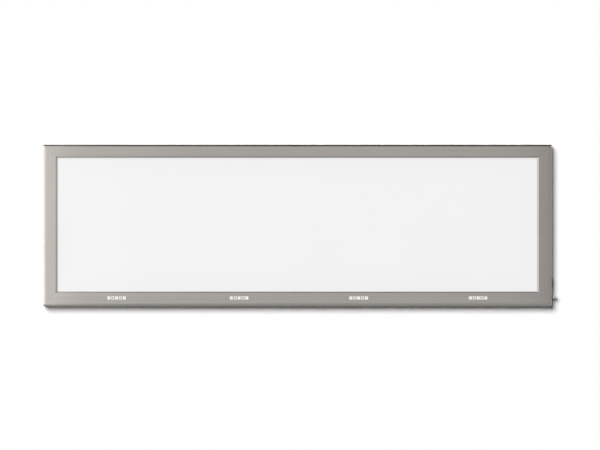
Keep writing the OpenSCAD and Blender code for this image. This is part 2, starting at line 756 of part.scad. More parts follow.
module switch_rocker() color([0.05, 0.05, 0.06]) placed()
  translate([side_x - pivot_in, mains_y, switch_rise]) rotate([0, rocker_tilt, 0]) {
    half = rocker_l / 2;
    apex = pivot_in + rocker_apex;
    tip = apex + half * tan(rocker_tilt);
    along_y(span(0, rocker_w)) polygon([
      [apex, 0], [tip, half], [tip - rocker_t, half], [-rocker_t / 4, rocker_l / 5],
      [-rocker_t / 4, -rocker_l / 5], [tip - rocker_t, -half], [tip, -half]]);
    rod_y(0, span(0, rocker_w), 0, rocker_hub_r);
    rod_y(0, span(0, well_w + rocker_pin_l), 0, rocker_pin_r);
  }

module fuse_holder() color([0.1, 0.1, 0.11]) placed() translate([side_x, mains_y, fuse_rise]) {
  difference() {
    union() {
      rod_x([0, collar_t], 0, 0, collar_r);
      rod_x([-holder_l, collar_t], 0, 0, holder_r);
      for (side = [-1, 1])
        block(run(-holder_l - fuse_blade_l, fuse_blade_l + holder_floor), span(0, fuse_blade_w),
          span(side * fuse_blade_rise, blade_t));
    }
    rod_x([holder_floor - holder_l, collar_t + overrun], 0, 0, holder_bore_r);
  }
  difference() {
    rod_x([-bar_wall - nut_t, -bar_wall], 0, 0, nut_across / sqrt(3), 6);
    rod_x([-bar_wall - nut_t - overrun, 0], 0, 0, holder_r + slide_gap);
  }
}

module fuse_cap() color([0.62, 0.62, 0.62]) placed() translate([side_x, mains_y, fuse_rise]) difference() {
  union() {
    rod_x(run(collar_t, fuse_knob_l), 0, 0, fuse_knob_r);
    rod_x([collar_t - fuse_sleeve_l, collar_t + fuse_knob_l / 2], 0, 0, holder_bore_r - slide_gap);
  }
  sleeve_end = collar_t - fuse_sleeve_l;
  rod_x([sleeve_end - overrun, sleeve_end + fuse_clip_l], 0, 0, fuse_r + slide_gap);
  block(run(collar_t + fuse_knob_l - knob_slot_d, knob_slot_d + overrun), span(0, 3 * fuse_knob_r),
    span(0, knob_slot_w));
}

module fuse_link() color([0.8, 0.8, 0.75]) placed() translate([side_x, mains_y, fuse_rise]) {
  outer = collar_t - fuse_sleeve_l + fuse_clip_l - fuse_r / 2;
  rod_x([outer - fuse_cap_l, outer], 0, 0, fuse_r);
  rod_x([outer - fuse_l + fuse_cap_l / 2, outer - fuse_cap_l / 2], 0, 0, fuse_glass_r);
  rod_x(run(outer - fuse_l, fuse_cap_l), 0, 0, fuse_r);
}

// Cables, each a mitred tube along its route

function unit(v) = v / norm(v);

function carried(ring, way, at, normal) = [for (q = ring) q + way * ((at - q) * normal) / (way * normal)];

function rings(route, ring, i) =
  i == len(route) - 1 ? [ring]
  : let (way = unit(route[i + 1] - route[i]),
      onward = i + 2 < len(route) ? unit(route[i + 2] - route[i + 1]) : way)
    concat([ring], rings(route, carried(ring, way, route[i + 1], unit(way + onward)), i + 1));

module cable(route, r) {
  way = unit(route[1] - route[0]);
  across = unit(cross(way, abs(way.y) > 1 / 2 ? [1, 0, 0] : [0, 1, 0]));
  up = cross(way, across);
  first = [for (i = [0 : wire_sides - 1])
    route[0] + r * (across * cos(i * 360 / wire_sides) + up * sin(i * 360 / wire_sides))];
  all = rings(route, first, 0);
  last = (len(route) - 1) * wire_sides;
  polyhedron(
    points = [for (ring = all, q = ring) q],
    faces = concat(
      [[for (i = [0 : wire_sides - 1]) i]],
      [[for (i = [wire_sides - 1 : -1 : 0]) last + i]],
      [for (n = [0 : len(route) - 2], i = [0 : wire_sides - 1])
        let (j = (i + 1) % wire_sides)
          [n * wire_sides + i, (n + 1) * wire_sides + i, (n + 1) * wire_sides + j, n * wire_sides + j]]));
}

// From the dimmer's plug at x, down or up to a lane, along it, and on to the end
function dimmer_route(x, edge_z, lane, end) =
  let (turn = (lane > edge_z ? 1 : -1) * dimmer_plug_w)
    [[x, plug_y, edge_z], [x, plug_y, edge_z + turn], [x, wire_y, edge_z + 2 * turn], [x, wire_y, lane],
      [end.x, wire_y, lane], [end.x, wire_y, end.z], end];

// The strip and key cables of one bank leave the dimmer in the order in which they turn off
module bank_cables(bank) {
  low = dimmer_z - dimmer_h / 2;
  high = dimmer_z + dimmer_h / 2;
  side = bank < banks / 2 ? -1 : 1;
  far = abs(bank - (banks - 1) / 2) > 1 ? 1 : 0;
  strip_lane = 2 * far + (side > 0 ? 1 : 0);
  key_lane = 2 * far + (side > 0 ? 0 : 1);
  cable(dimmer_route(side * (plug_start + strip_lane * plug_pitch), low, lane_z + strip_lane * lane_pitch,
    [strip_plug_x(bank), strip_plug_y, tray_z[0] + strip_plug_z]), strip_wire_r);
  cable(dimmer_route(side * (plug_start + key_lane * plug_pitch), low, lane_z + key_lane * lane_pitch,
    [key_row_x(bank), key_plug_y, key_board_z]), wire_r);
  upper_lane = high + upper_lane_rise + (1 - far) * lane_pitch;
  cable(dimmer_route(side * (plug_start + far * plug_pitch), high, upper_lane,
    [strip_plug_x(bank), strip_plug_y, tray_z[1] - strip_plug_z]), strip_wire_r);
}

module mains_cables() {
  supply_end = supply_x + supply_w / 2;
  fuse_end = side_x - holder_l - fuse_blade_l;
  switch_end = side_x - housing_d - blade_l;
  turn = blade_l + blade_w;
  top = inlet_h + blade_l;
  live = inlet_x + inlet_pin_x;
  neutral = inlet_x - inlet_pin_x;
  pin_y = mains_y + inlet_pin_y;
  fuse_z = span(fuse_rise, 2 * fuse_blade_rise);
  switch_z = span(switch_rise, 2 * blade_rise);
  cable([[live, pin_y, top], [live, pin_y, top + turn / 2], [live, mains_y, top + turn],
    [fuse_end - 2 * turn, mains_y, top + turn], [fuse_end - turn, mains_y, fuse_z[0]],
    [fuse_end, mains_y, fuse_z[0]]], mains_wire_r);
  cable([[fuse_end, mains_y, fuse_z[1]], [fuse_end - turn / 2, mains_y, fuse_z[1]],
    [fuse_end - turn / 2, mains_y, switch_z[0]], [switch_end, mains_y, switch_z[0]]], mains_wire_r);
  cable([[switch_end, mains_y, switch_z[1]], [switch_end - turn, mains_y, switch_z[1]],
    [switch_end - turn, wire_y, switch_z[1] + turn], [switch_end - turn, wire_y, supply_z + turn],
    [supply_end, wire_y, supply_z + turn]], mains_wire_r);
  cable([[neutral, pin_y, top], [neutral, pin_y, top + turn / 2], [neutral, mains_y, top + turn],
    [neutral, wire_y, top + 2 * turn], [neutral, wire_y, supply_z - turn],
    [supply_end, wire_y, supply_z - turn]], mains_wire_r);
  cable([[supply_x - supply_w / 2, wire_y, dimmer_z], [dimmer_w / 2 + 2 * turn, wire_y, dimmer_z],
    [dimmer_w / 2 + turn, plug_y, dimmer_z], [dimmer_w / 2, plug_y, dimmer_z]], wire_r);
}

module wiring() color([0.25, 0.25, 0.26]) placed() {
  for (bank = [0 : banks - 1]) bank_cables(bank);
  mains_cables();
}

// Rear

function panel_screw_places() = concat(
  [for (i = [0 : panel_screws - 1], z = [rib_mid, body_h - rib_mid])
    [(body_w - 2 * panel_screw_inset) * (i / (panel_screws - 1) - 1 / 2), z]],
  [for (x = [rib_mid - body_w / 2, body_w / 2 - rib_mid], share = panel_screw_z_shares) [x, share * body_h]]);

function hanger_screw_places() =
  [for (x = span(0, hang_spacing), side = [-1, 1], z = [hanger_screw_z, body_h - rib_mid])
    [x + side * hanger_screw_x, z]];

module keyholes(y) for (x = span(0, hang_spacing)) translate([x, 0, hang_rise]) {
  rod_y(0, y, 0, keyhole_r);
  rod_y(0, y, keyhole_slot_l, keyhole_slot_r);
  block(span(0, 2 * keyhole_slot_r), y, [0, keyhole_slot_l]);
}

module back_panel() color([0.8, 0.8, 0.79]) placed() {
  through = [panel_y - overrun, panel_back_y + overrun];
  difference() {
    block(span(0, body_w - 2 * panel_edge), [panel_y, panel_back_y], [panel_edge, body_h - panel_edge]);
    for (bank = [0 : banks - 1], i = [0 : vents - 1], share = vent_z_shares)
      block(span(bank_x(bank) + (i - (vents - 1) / 2) * vent_pitch, vent_w), through,
        span(share * body_h, vent_l));
    for (x = span(0, hang_spacing))
      block(span(x, 2 * keyhole_room), through,
        [hang_rise - keyhole_room, hang_rise + keyhole_slot_l + keyhole_room]);
    for (places = [panel_screw_places(), hanger_screw_places(), standoff_places(), dimmer_post_places(),
        supply_boss_places()], p = places)
      rod_y(p.x, through, p.y, screw_r + screw_gap);
  }
  for (x = span(0, hang_spacing), side = [-1, 1]) translate([x + side * hanger_screw_x, 0, 0]) difference() {
    rod_y(0, [panel_y - clinch_l, panel_y + panel_t / 2], hanger_screw_z, clinch_r);
    rod_y(0, [panel_y - clinch_l - overrun, panel_back_y], hanger_screw_z, screw_r + screw_gap);
  }
}

module back_panel_screws() color([0.35, 0.35, 0.36]) placed() {
  for (p = panel_screw_places()) pan_screw(p.x, panel_back_y, p.y, panel_screw_l);
  for (p = standoff_places())
    pan_screw(p.x, panel_back_y, p.y, panel_t + standoff_bore_l * screw_depth_share);
  for (p = dimmer_post_places())
    pan_screw(p.x, panel_back_y, p.y, panel_t + dimmer_bore_l * screw_depth_share);
  for (p = supply_boss_places())
    pan_screw(p.x, panel_back_y, p.y, panel_t + supply_wall + supply_boss_l * screw_depth_share);
  for (p = hanger_screw_places()) sunk_screw(p.x, body_d, p.y, hanger_screw_l);
}

module hanger_plates() color([0.7, 0.71, 0.72]) placed() difference() {
  for (x = span(0, hang_spacing))
    block(span(x, hanger_w), [panel_back_y, body_d], [hang_rise - hanger_drop, body_h - panel_edge]);
  keyholes([panel_back_y - overrun, body_d + overrun]);
  for (p = hanger_screw_places()) sunk_screw(p.x, body_d, p.y, hanger_screw_l, screw_gap);
}

module wall_bumpers() color([0.12, 0.12, 0.12]) placed()
  for (x = span(0, body_w - 2 * bumper_inset_x), z = span(body_h / 2, body_h - 2 * bumper_inset_z))
    rod_y(x, [panel_back_y, body_d + bumper_proud], z, bumper_r);

frame_top();
frame_bottom();
frame_left();
frame_right();
corner_brackets();
frame_screws();
diffuser_screen();
screen_seals();
light_guides();
bank_dividers();
reflector_sheet();
light_tray();
led_strips();
roller_cheeks();
key_boards();
key_switches();
key_board_screws();
standoffs();
power_supply_case();
power_supply_board();
dimmer_board();
mains_inlet();
switch_housing();
switch_rocker();
fuse_holder();
fuse_cap();
fuse_link();
wiring();
back_panel();
back_panel_screws();
hanger_plates();
wall_bumpers();
for (bank = [0 : banks - 1]) {
  roller_axle(bank);
  film_roller(bank);
  for (key = [0 : keys - 1]) key_cap(bank, key);
}
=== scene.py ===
import json
import math

import bmesh
import bpy
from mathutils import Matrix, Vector

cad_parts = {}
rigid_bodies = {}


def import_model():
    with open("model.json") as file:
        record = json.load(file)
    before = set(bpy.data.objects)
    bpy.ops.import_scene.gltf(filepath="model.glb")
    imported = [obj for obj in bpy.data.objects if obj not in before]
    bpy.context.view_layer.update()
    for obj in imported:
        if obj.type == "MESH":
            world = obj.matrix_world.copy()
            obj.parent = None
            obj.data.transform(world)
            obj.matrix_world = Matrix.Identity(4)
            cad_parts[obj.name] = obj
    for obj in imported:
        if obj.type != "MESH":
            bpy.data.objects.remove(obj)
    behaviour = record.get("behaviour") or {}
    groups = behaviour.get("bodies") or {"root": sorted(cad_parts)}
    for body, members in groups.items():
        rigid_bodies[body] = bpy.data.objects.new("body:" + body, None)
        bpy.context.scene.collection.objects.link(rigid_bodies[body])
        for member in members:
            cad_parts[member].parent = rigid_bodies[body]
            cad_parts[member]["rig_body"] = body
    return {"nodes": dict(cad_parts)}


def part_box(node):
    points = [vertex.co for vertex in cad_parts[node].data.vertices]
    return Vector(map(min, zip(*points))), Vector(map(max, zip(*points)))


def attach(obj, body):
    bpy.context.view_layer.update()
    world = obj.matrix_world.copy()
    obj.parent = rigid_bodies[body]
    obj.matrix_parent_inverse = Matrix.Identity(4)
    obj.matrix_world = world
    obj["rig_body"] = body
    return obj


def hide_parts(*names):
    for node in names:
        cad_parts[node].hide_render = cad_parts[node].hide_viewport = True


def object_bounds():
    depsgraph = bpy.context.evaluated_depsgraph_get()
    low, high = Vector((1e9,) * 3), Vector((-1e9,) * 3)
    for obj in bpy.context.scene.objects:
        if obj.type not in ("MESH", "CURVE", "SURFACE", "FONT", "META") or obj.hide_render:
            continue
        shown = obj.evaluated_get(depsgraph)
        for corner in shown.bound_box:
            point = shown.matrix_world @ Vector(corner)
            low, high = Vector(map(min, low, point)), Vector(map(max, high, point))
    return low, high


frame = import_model()
cad_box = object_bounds()
nodes = frame["nodes"]

# The photographer's place: a long lens square on to the front, with the viewer's middle a little
# left of the middle of the picture. The picture's own sizes are in pixels, and all others in metres
PHOTO_WIDTH = 600
PHOTO_HEIGHT = 450
VIEWER_WIDTH = 509.2
VIEWER_MIDDLE = (297.3, 225.3)
CAMERA_DISTANCE = 8.0
SENSOR_WIDTH = 36.0
VIEW_END = 100
UPRIGHT = (math.radians(90), 0, 0)

frame_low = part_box("frame_left")[0]
frame_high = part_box("frame_right")[1]
front_y = frame_low.y
middle_x = (frame_low.x + frame_high.x) / 2
middle_z = (frame_low.z + frame_high.z) / 2
half_width = (frame_high.x - frame_low.x) / 2
half_height = (frame_high.z - frame_low.z) / 2
metres_per_pixel = 2 * half_width / VIEWER_WIDTH

bpy.ops.object.select_all(action="DESELECT")
bpy.ops.object.camera_add(
    location=(
        middle_x + (PHOTO_WIDTH / 2 - VIEWER_MIDDLE[0]) * metres_per_pixel,
        front_y - CAMERA_DISTANCE,
        middle_z + (VIEWER_MIDDLE[1] - PHOTO_HEIGHT / 2) * metres_per_pixel,
    ),
    rotation=UPRIGHT,
)
camera = bpy.context.object
camera.data.sensor_width = SENSOR_WIDTH
camera.data.lens = SENSOR_WIDTH * CAMERA_DISTANCE / (PHOTO_WIDTH * metres_per_pixel)
camera.data.clip_end = VIEW_END
bpy.context.scene.camera = camera
bpy.context.scene.view_settings.view_transform = "Standard"

# The wall that the viewer hangs on, the floor below and the studio's light. The wall shows only to
# the camera and only from the front, so that the rear of the viewer can be seen and lit through it
WALL_GAP = 0.0003
WALL_Y = cad_box[1].y + WALL_GAP
STAGE_SIZE = 60
FLOOR_Z = -1.5
WALL_WHITE = 0.97
FLOOR_WHITE = 0.05
FLOOR_GLOW = 0.95
FLOOR_GLOSS = 0.5
SHADE_LEVEL = 0.03
FLAT = (0, 0, 0)


def new_material(name):
    material = bpy.data.materials.new(name)
    material.use_nodes = True
    return material, material.node_tree


def node(tree, kind, inputs=None, **settings):
    made = tree.nodes.new(kind)
    for key, value in settings.items():
        setattr(made, key, value)
    for key, value in (inputs or {}).items():
        socket = made.inputs[key]
        if isinstance(value, bpy.types.NodeSocket):
            tree.links.new(value, socket)
        else:
            socket.default_value = value
    return made


def math_node(tree, operation, *values):
    return node(tree, "ShaderNodeMath", dict(enumerate(values)), operation=operation).outputs[0]


def product(tree, *values):
    whole = values[0]
    for value in values[1:]:
        whole = math_node(tree, "MULTIPLY", whole, value)
    return whole


def stage_plane(name, location, rotation, size, material):
    bpy.ops.object.select_all(action="DESELECT")
    bpy.ops.mesh.primitive_plane_add(size=1, location=location, rotation=rotation)
    plane = bpy.context.object
    plane.name = name
    plane.scale = (*size, 1)
    plane.data.materials.append(material)
    return plane


def for_glossy_rays_only(plane):
    for ray in ("camera", "diffuse", "transmission", "volume_scatter", "shadow"):
        setattr(plane, "visible_" + ray, False)


wall_paint, tree = new_material("wall_paint")
path = node(tree, "ShaderNodeLightPath")
facing = node(tree, "ShaderNodeNewGeometry")
seen = product(
    tree, path.outputs["Is Camera Ray"], math_node(tree, "SUBTRACT", 1.0, facing.outputs["Backfacing"])
)
clear = node(tree, "ShaderNodeBsdfTransparent")
paint = node(tree, "ShaderNodeBsdfDiffuse", {"Color": (WALL_WHITE, WALL_WHITE, WALL_WHITE, 1)})
mixed = node(tree, "ShaderNodeMixShader", {0: seen, 1: clear.outputs[0], 2: paint.outputs[0]})
tree.links.new(mixed.outputs[0], tree.nodes["Material Output"].inputs["Surface"])
stage_plane(
    "wall", (0, WALL_Y, FLOOR_Z + STAGE_SIZE / 2), UPRIGHT, (STAGE_SIZE, STAGE_SIZE), wall_paint
)

floor_paint, tree = new_material("floor_paint")
path = node(tree, "ShaderNodeLightPath")
floor_level = math_node(
    tree, "MULTIPLY_ADD", path.outputs["Is Camera Ray"], FLOOR_GLOW,
    product(tree, path.outputs["Is Glossy Ray"], FLOOR_GLOSS),
)
glow = node(tree, "ShaderNodeEmission", {"Strength": floor_level})
paint = node(tree, "ShaderNodeBsdfDiffuse", {"Color": (FLOOR_WHITE, FLOOR_WHITE, FLOOR_WHITE, 1)})
both = node(tree, "ShaderNodeAddShader", {0: glow.outputs[0], 1: paint.outputs[0]})
tree.links.new(both.outputs[0], tree.nodes["Material Output"].inputs["Surface"])
stage_plane("floor", (0, 0, FLOOR_Z), FLAT, (STAGE_SIZE, STAGE_SIZE), floor_paint)

world = bpy.data.worlds.new("studio")
bpy.context.scene.world = world
world.use_nodes = True
tree = world.node_tree
path = node(tree, "ShaderNodeLightPath")
white_rays = math_node(
    tree, "MAXIMUM", path.outputs["Is Camera Ray"],
    math_node(
        tree, "MAXIMUM", path.outputs["Is Glossy Ray"], path.outputs["Is Transmission Ray"]
    ),
)
level = node(
    tree, "ShaderNodeMapRange",
    {"Value": white_rays, "To Min": SHADE_LEVEL, "To Max": 1.0},
).outputs[0]
tree.links.new(level, tree.nodes["Background"].inputs["Strength"])
tree.nodes["Background"].inputs["Color"].default_value = (1, 1, 1, 1)

# Two broad lamps, from the upper left in front and from the upper right behind. Each has the way
# that it shines, its level on a white wall and its spread in degrees. Metal mirrors only the cards
LAMPS = [
    ("front_lamp", (0.44, 1, -0.5), 1.0, 32),
    ("rear_lamp", (-0.35, -1, -0.5), 0.7, 40),
]
for name, travel, white_level, spread in LAMPS:
    way = Vector(travel).normalized()
    bpy.ops.object.light_add(type="SUN", rotation=way.to_track_quat("-Z", "Y").to_euler())
    lamp = bpy.context.object
    lamp.name = name
    lamp.data.energy = white_level * math.pi / abs(way.y)
    lamp.data.angle = math.radians(spread)
    lamp.visible_glossy = False

# Cards that only metal and gloss see, bright at the left, darker at the right and darkest above. Each
# has its middle, turn, size and level
SIDEWAYS = (0, math.radians(90), 0)
CARDS = [
    ("near_left_card", (-1.18, front_y - 0.5, 0), UPRIGHT, (0.54, 5), 2.05),
    ("far_left_card", (-2.02, front_y - 0.7, 0), UPRIGHT, (1.16, 5), 2.2),
    ("tall_left_card", (-2.6, front_y - 2.6, 0), SIDEWAYS, (5, 3.8), 2.2),
    ("left_side_card", (-2.6, front_y + 0.4, 0), SIDEWAYS, (5, 2.2), 2.2),
    ("right_card", (1.8, front_y - 0.7, 0), UPRIGHT, (1.85, 5), 0.5),
    ("right_side_card", (2.7, front_y + 0.4, 0), SIDEWAYS, (5, 2.2), 0.75),
    ("upper_card", (0, front_y - 0.05, 1.2), FLAT, (5.2, 3.1), 0.08),
]
for name, place, turn, size, glow_level in CARDS:
    card_paint, tree = new_material(name)
    glow = node(tree, "ShaderNodeEmission", {"Strength": glow_level})
    tree.links.new(glow.outputs[0], tree.nodes["Material Output"].inputs["Surface"])
    for_glossy_rays_only(stage_plane(name, place, turn, size, card_paint))


# Frame bars: anodised aluminium extrusions with a fine lengthwise grain, sawn to mitres that show
# as hairlines, and with the key slots and the cut-outs for the mains parts punched in them
ANODISED = (0.425, 0.402, 0.376)
GRAIN_ALONG = 6
GRAIN_ACROSS = 2600
LEVEL_GRAIN = (GRAIN_ALONG, GRAIN_ACROSS, GRAIN_ACROSS)
UPRIGHT_GRAIN = (GRAIN_ACROSS, GRAIN_ACROSS, GRAIN_ALONG)
STREAK_SHARE = 0.09
PATCHES_ON_BAR = 5.0
GRAIN_VARIES = 0.045
STREAKS_VARY = 0.04
PATCHES_VARY = 0.015
BAR_ROUGH = (0.33, 0.41)
NOISE_SPREAD = (0.3, 0.7)
MITRE_LINE = 0.00022
MITRE_DARK = 0.75
TOP_BAR = 0.0425
BOTTOM_BAR = 0.0465
SIDE_BAR = 0.047
TOP_END = (1, TOP_BAR)
BOTTOM_END = (-1, BOTTOM_BAR)
NEAR = 0.000001
LEVEL_ENOUGH = math.radians(0.5)


def object_place(tree):
    return node(tree, "ShaderNodeTexCoord").outputs["Object"]


def noise(tree, place, scale, detail=2.0, stretch=None):
    if stretch:
        place = node(
            tree, "ShaderNodeMapping", {"Vector": place, "Scale": stretch}
        ).outputs[0]
    return node(
        tree, "ShaderNodeTexNoise", {"Vector": place, "Scale": scale, "Detail": detail}
    ).outputs["Fac"]


def between(tree, value, low, high, out_low=0.0, out_high=1.0):
    return node(
        tree, "ShaderNodeMapRange",
        {"Value": value, "From Min": low, "From Max": high, "To Min": out_low, "To Max": out_high},
    ).outputs[0]


def varied(tree, pattern, low, high):
    """A value that goes from low to high with a noise pattern."""
    return between(tree, pattern, *NOISE_SPREAD, low, high)


def about_one(tree, pattern, share):
    """A factor that strays from one by the share, with a noise pattern."""
    return varied(tree, pattern, 1 - share, 1 + share)


def switched(tree, mask, off, on):
    """The value off where the mask is 0, and on where it is 1."""
    return between(tree, mask, 0, 1, off, on)


def tinted(tree, colour, strength):
    """The colour, made lighter or darker by a factor that varies over the piece."""
    tint = node(tree, "ShaderNodeCombineXYZ", {0: strength, 1: strength, 2: strength}).outputs[0]
    return node(
        tree, "ShaderNodeVectorMath", {0: tint, 1: colour}, operation="MULTIPLY"
    ).outputs[0]


def mixed_colour(tree, factor, first, second):
    made = node(tree, "ShaderNodeMix", data_type="RGBA")
    for socket, value in ((made.inputs[0], factor), (made.inputs[6], first), (made.inputs[7], second)):
        if isinstance(value, bpy.types.NodeSocket):
            tree.links.new(value, socket)
        else:
            socket.default_value = (*value, 1)
    return made.outputs[2]


def bumped(tree, height, strength, distance):
    shader = tree.nodes["Principled BSDF"]
    bump = node(
        tree, "ShaderNodeBump", {"Height": height, "Strength": strength, "Distance": distance}
    )
    tree.links.new(bump.outputs[0], shader.inputs["Normal"])


def surface(tree, **values):
    """Sets the shader's sockets, where an underscore in a name stands for a space."""
    shader = tree.nodes["Principled BSDF"]
    for key, value in values.items():
        socket = shader.inputs[key.replace("_", " ")]
        if isinstance(value, bpy.types.NodeSocket):
            tree.links.new(value, socket)
        elif isinstance(value, tuple):
            socket.default_value = (*value, 1)
        else:
            socket.default_value = value


def mitre_lines(tree, place, ends):
    """How close a point lies to a mitre: 1 on the joint, 0 past the hairline's edge."""
    parts = node(tree, "ShaderNodeSeparateXYZ", {0: place})
    across = math_node(tree, "ABSOLUTE", parts.outputs[0])
    nearest = None
    for sign, bar in ends:
        edge_z = frame_high.z if sign > 0 else frame_low.z
        run = math.hypot(SIDE_BAR, bar)
        slope_x = bar / run
        slope_z = sign * SIDE_BAR / run
        offset = -(slope_x * half_width - slope_z * edge_z)
        value = math_node(tree, "MULTIPLY_ADD", across, slope_x, offset)
        value = math_node(tree, "MULTIPLY_ADD", parts.outputs[2], -slope_z, value)
        value = math_node(tree, "ABSOLUTE", value)
        nearest = value if nearest is None else math_node(tree, "MINIMUM", nearest, value)
    return between(tree, nearest, MITRE_LINE, 2 * MITRE_LINE, 1.0, 0.0)


def anodised_bar(name, stretch, ends, painted_light_tone):
    material, tree = new_material(name)
    place = object_place(tree)
    grain = noise(tree, place, scale=1.0, detail=3.0, stretch=stretch)
    streaks = noise(tree, place, scale=STREAK_SHARE, detail=1.0, stretch=stretch)
    patches = noise(tree, place, scale=PATCHES_ON_BAR)
    # The bar's tone scales its whole colour; it is painted light, making one bar lighter than another
    shade = product(
        tree, varied(tree, grain, painted_light_tone * (1 - GRAIN_VARIES), painted_light_tone * (1 + GRAIN_VARIES)),
        about_one(tree, patches, PATCHES_VARY), about_one(tree, streaks, STREAKS_VARY),
        switched(tree, mitre_lines(tree, place, ends), off=1.0, on=MITRE_DARK),
    )
    surface(
        tree, Base_Color=tinted(tree, ANODISED, shade), Metallic=1.0,
        Roughness=varied(tree, grain, *BAR_ROUGH),
    )
    bumped(tree, grain, strength=0.25, distance=0.00002)
    return material


def only_active(piece):
    bpy.ops.object.select_all(action="DESELECT")
    piece.select_set(True)
    bpy.context.view_layer.objects.active = piece


def applied(piece, kind, **settings):
    """Adds a modifier to the piece and applies it."""
    only_active(piece)
    modifier = piece.modifiers.new(kind.lower(), kind)
    for key, value in settings.items():
        setattr(modifier, key, value)
    bpy.ops.object.modifier_apply(modifier=modifier.name)


def smoothed(piece, angle=35):
    only_active(piece)
    bpy.ops.object.shade_smooth_by_angle(angle=math.radians(angle))
    applied(piece, "WEIGHTED_NORMAL", keep_sharp=True, weight=100)


def fitted(piece, name, material, body):
    """Names the finished piece, and gives it its finish and the body that carries it."""
    piece.name = name
    piece.data.name = name
    piece.data.materials.clear()
    piece.data.materials.append(material)
    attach(piece, body)
    return piece


def eased(name, material, edge, segments=2, angle=35):
    """The piece in the place of a CAD node: its own edges, broken by the given width."""
    source = nodes[name]
    piece = bpy.data.objects.new(name + "_eased", source.data.copy())
    bpy.context.collection.objects.link(piece)
    only_active(piece)
    bpy.ops.object.mode_set(mode="EDIT")
    bpy.ops.mesh.select_all(action="SELECT")
    bpy.ops.mesh.remove_doubles(threshold=NEAR)
    bpy.ops.mesh.dissolve_limited(angle_limit=LEVEL_ENOUGH)
    bpy.ops.object.mode_set(mode="OBJECT")
    applied(
        piece, "BEVEL", width=edge, segments=segments, limit_method="ANGLE",
        angle_limit=math.radians(angle),
    )
    smoothed(piece, angle)
    fitted(piece, name + "_eased", material, source["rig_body"])
    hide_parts(name)
    return piece


# The bars share one anodised finish; their tones are painted light: the bottom bar lighter and the side
# bars a little lighter than the top, for how the light falls on each
side_finish = anodised_bar("side_bars", UPRIGHT_GRAIN, [TOP_END, BOTTOM_END], painted_light_tone=1.02)
bar_finishes = {
    "frame_top": anodised_bar("top_bar", LEVEL_GRAIN, [TOP_END], painted_light_tone=1.0),
    "frame_bottom": anodised_bar("bottom_bar", LEVEL_GRAIN, [BOTTOM_END], painted_light_tone=1.06),
    "frame_left": side_finish, "frame_right": side_finish,
}
for name, finish in bar_finishes.items():
    eased(name, finish, edge=0.00012)

# Corner brackets: L plates punched from mill-finish aluminium sheet, one behind each mitre, and the
# zinc-plated countersunk screws that draw the bars together through them
MILL = (0.66, 0.665, 0.67)
ZINC = (0.60, 0.60, 0.575)
PATCHES = 14.0
ROUGH_VARIES = 0.1
GRAIN_DEPTH = 0.3


def weathered(tree, place, scale, variation, stretch=None):
    """Grain over the piece, and the factor that it gives the colour."""
    grain = noise(tree, place, scale, detail=3.0, stretch=stretch)
    patches = noise(tree, place, PATCHES, detail=3.0)
    factor = product(
        tree, about_one(tree, grain, variation), about_one(tree, patches, variation / 2)
    )
    return grain, factor


def plain_finish(
    name, colour, rough, metallic=0.0, scale=600.0, stretch=None, variation=0.05, height=0.00002
):
    material, tree = new_material(name)
    place = object_place(tree)
    grain, factor = weathered(tree, place, scale, variation, stretch)
    surface(
        tree, Base_Color=tinted(tree, colour, factor), Metallic=metallic,
        Roughness=varied(tree, grain, rough * (1 - ROUGH_VARIES), rough * (1 + ROUGH_VARIES)),
    )
    bumped(tree, grain, GRAIN_DEPTH, height)
    return material


def inside(tree, place, **limits):
    """1 where each named coordinate lies between its limits, 0 elsewhere."""
    parts = node(tree, "ShaderNodeSeparateXYZ", {0: place})
    mask = None
    for axis, (low, high) in limits.items():
        value = parts.outputs["xyz".index(axis)]
        in_band = product(
            tree, math_node(tree, "GREATER_THAN", value, low), math_node(tree, "LESS_THAN", value, high)
        )
        mask = in_band if mask is None else product(tree, mask, in_band)
    return mask


def any_of(tree, masks):
    mask = masks[0]
    for other in masks[1:]:
        mask = math_node(tree, "MAXIMUM", mask, other)
    return mask


def zone(places, colour, rough, metallic=0.0):
    """A part of a piece with a finish of its own, where each place is a set of limits by axis."""
    return places, colour, rough, metallic


def mixed_finish(name, base, zones, rough=0.5, scale=600.0, variation=0.05, height=0.00002):
    """A finish whose zones differ from its base."""
    material, tree = new_material(name)
    place = object_place(tree)
    grain, factor = weathered(tree, place, scale, variation)
    colour = base
    metallic = 0.0
    roughness = rough
    for places, zone_colour, zone_rough, zone_metallic in zones:
        mask = any_of(tree, [inside(tree, place, **limits) for limits in places])
        colour = mixed_colour(tree, mask, colour, zone_colour)
        roughness = switched(tree, mask, roughness, zone_rough)
        if metallic != zone_metallic:
            metallic = switched(tree, mask, metallic, zone_metallic)
    surface(
        tree, Base_Color=tinted(tree, colour, factor), Metallic=metallic,
        Roughness=product(tree, roughness, about_one(tree, grain, ROUGH_VARIES)),
    )
    bumped(tree, grain, GRAIN_DEPTH, height)
    return material


rolled_sheet = plain_finish(
    "rolled_sheet", MILL, rough=0.34, metallic=1.0, scale=1.0, stretch=(30, 1800, 1800), variation=0.03
)
zinc_plate = plain_finish("zinc_plate", ZINC, rough=0.36, metallic=1.0, scale=900.0, variation=0.07)
eased("corner_brackets", rolled_sheet, edge=0.0003)

# Screws: pressed heads with a cross recess, domed where they stand on a panel and countersunk
# where they lie flush; one of each is modelled and then copied to every place in the CAD
SHANK = 0.0015
PAN_RADIUS = 0.0028
PAN_HEIGHT = 0.0014
SUNK_RADIUS = 0.00285
SUNK_HEIGHT = 0.0015
RECESS_LENGTH = 0.0031
RECESS_WIDTH = 0.00065
RECESS_DEPTH = 0.0008
RECESS_TAPER = 0.45
MODEL_LENGTH = 0.006
SHANK_POINT = 0.0004
DOMED_RIM = 0.4
DOME_RINGS = ((0.3, 0.93), (0.2, 0.82), (0.1, 0.66))
SUNK_CONE = 0.85
SAME_SIZE = 0.00005
SQUARE_ON = 0.9


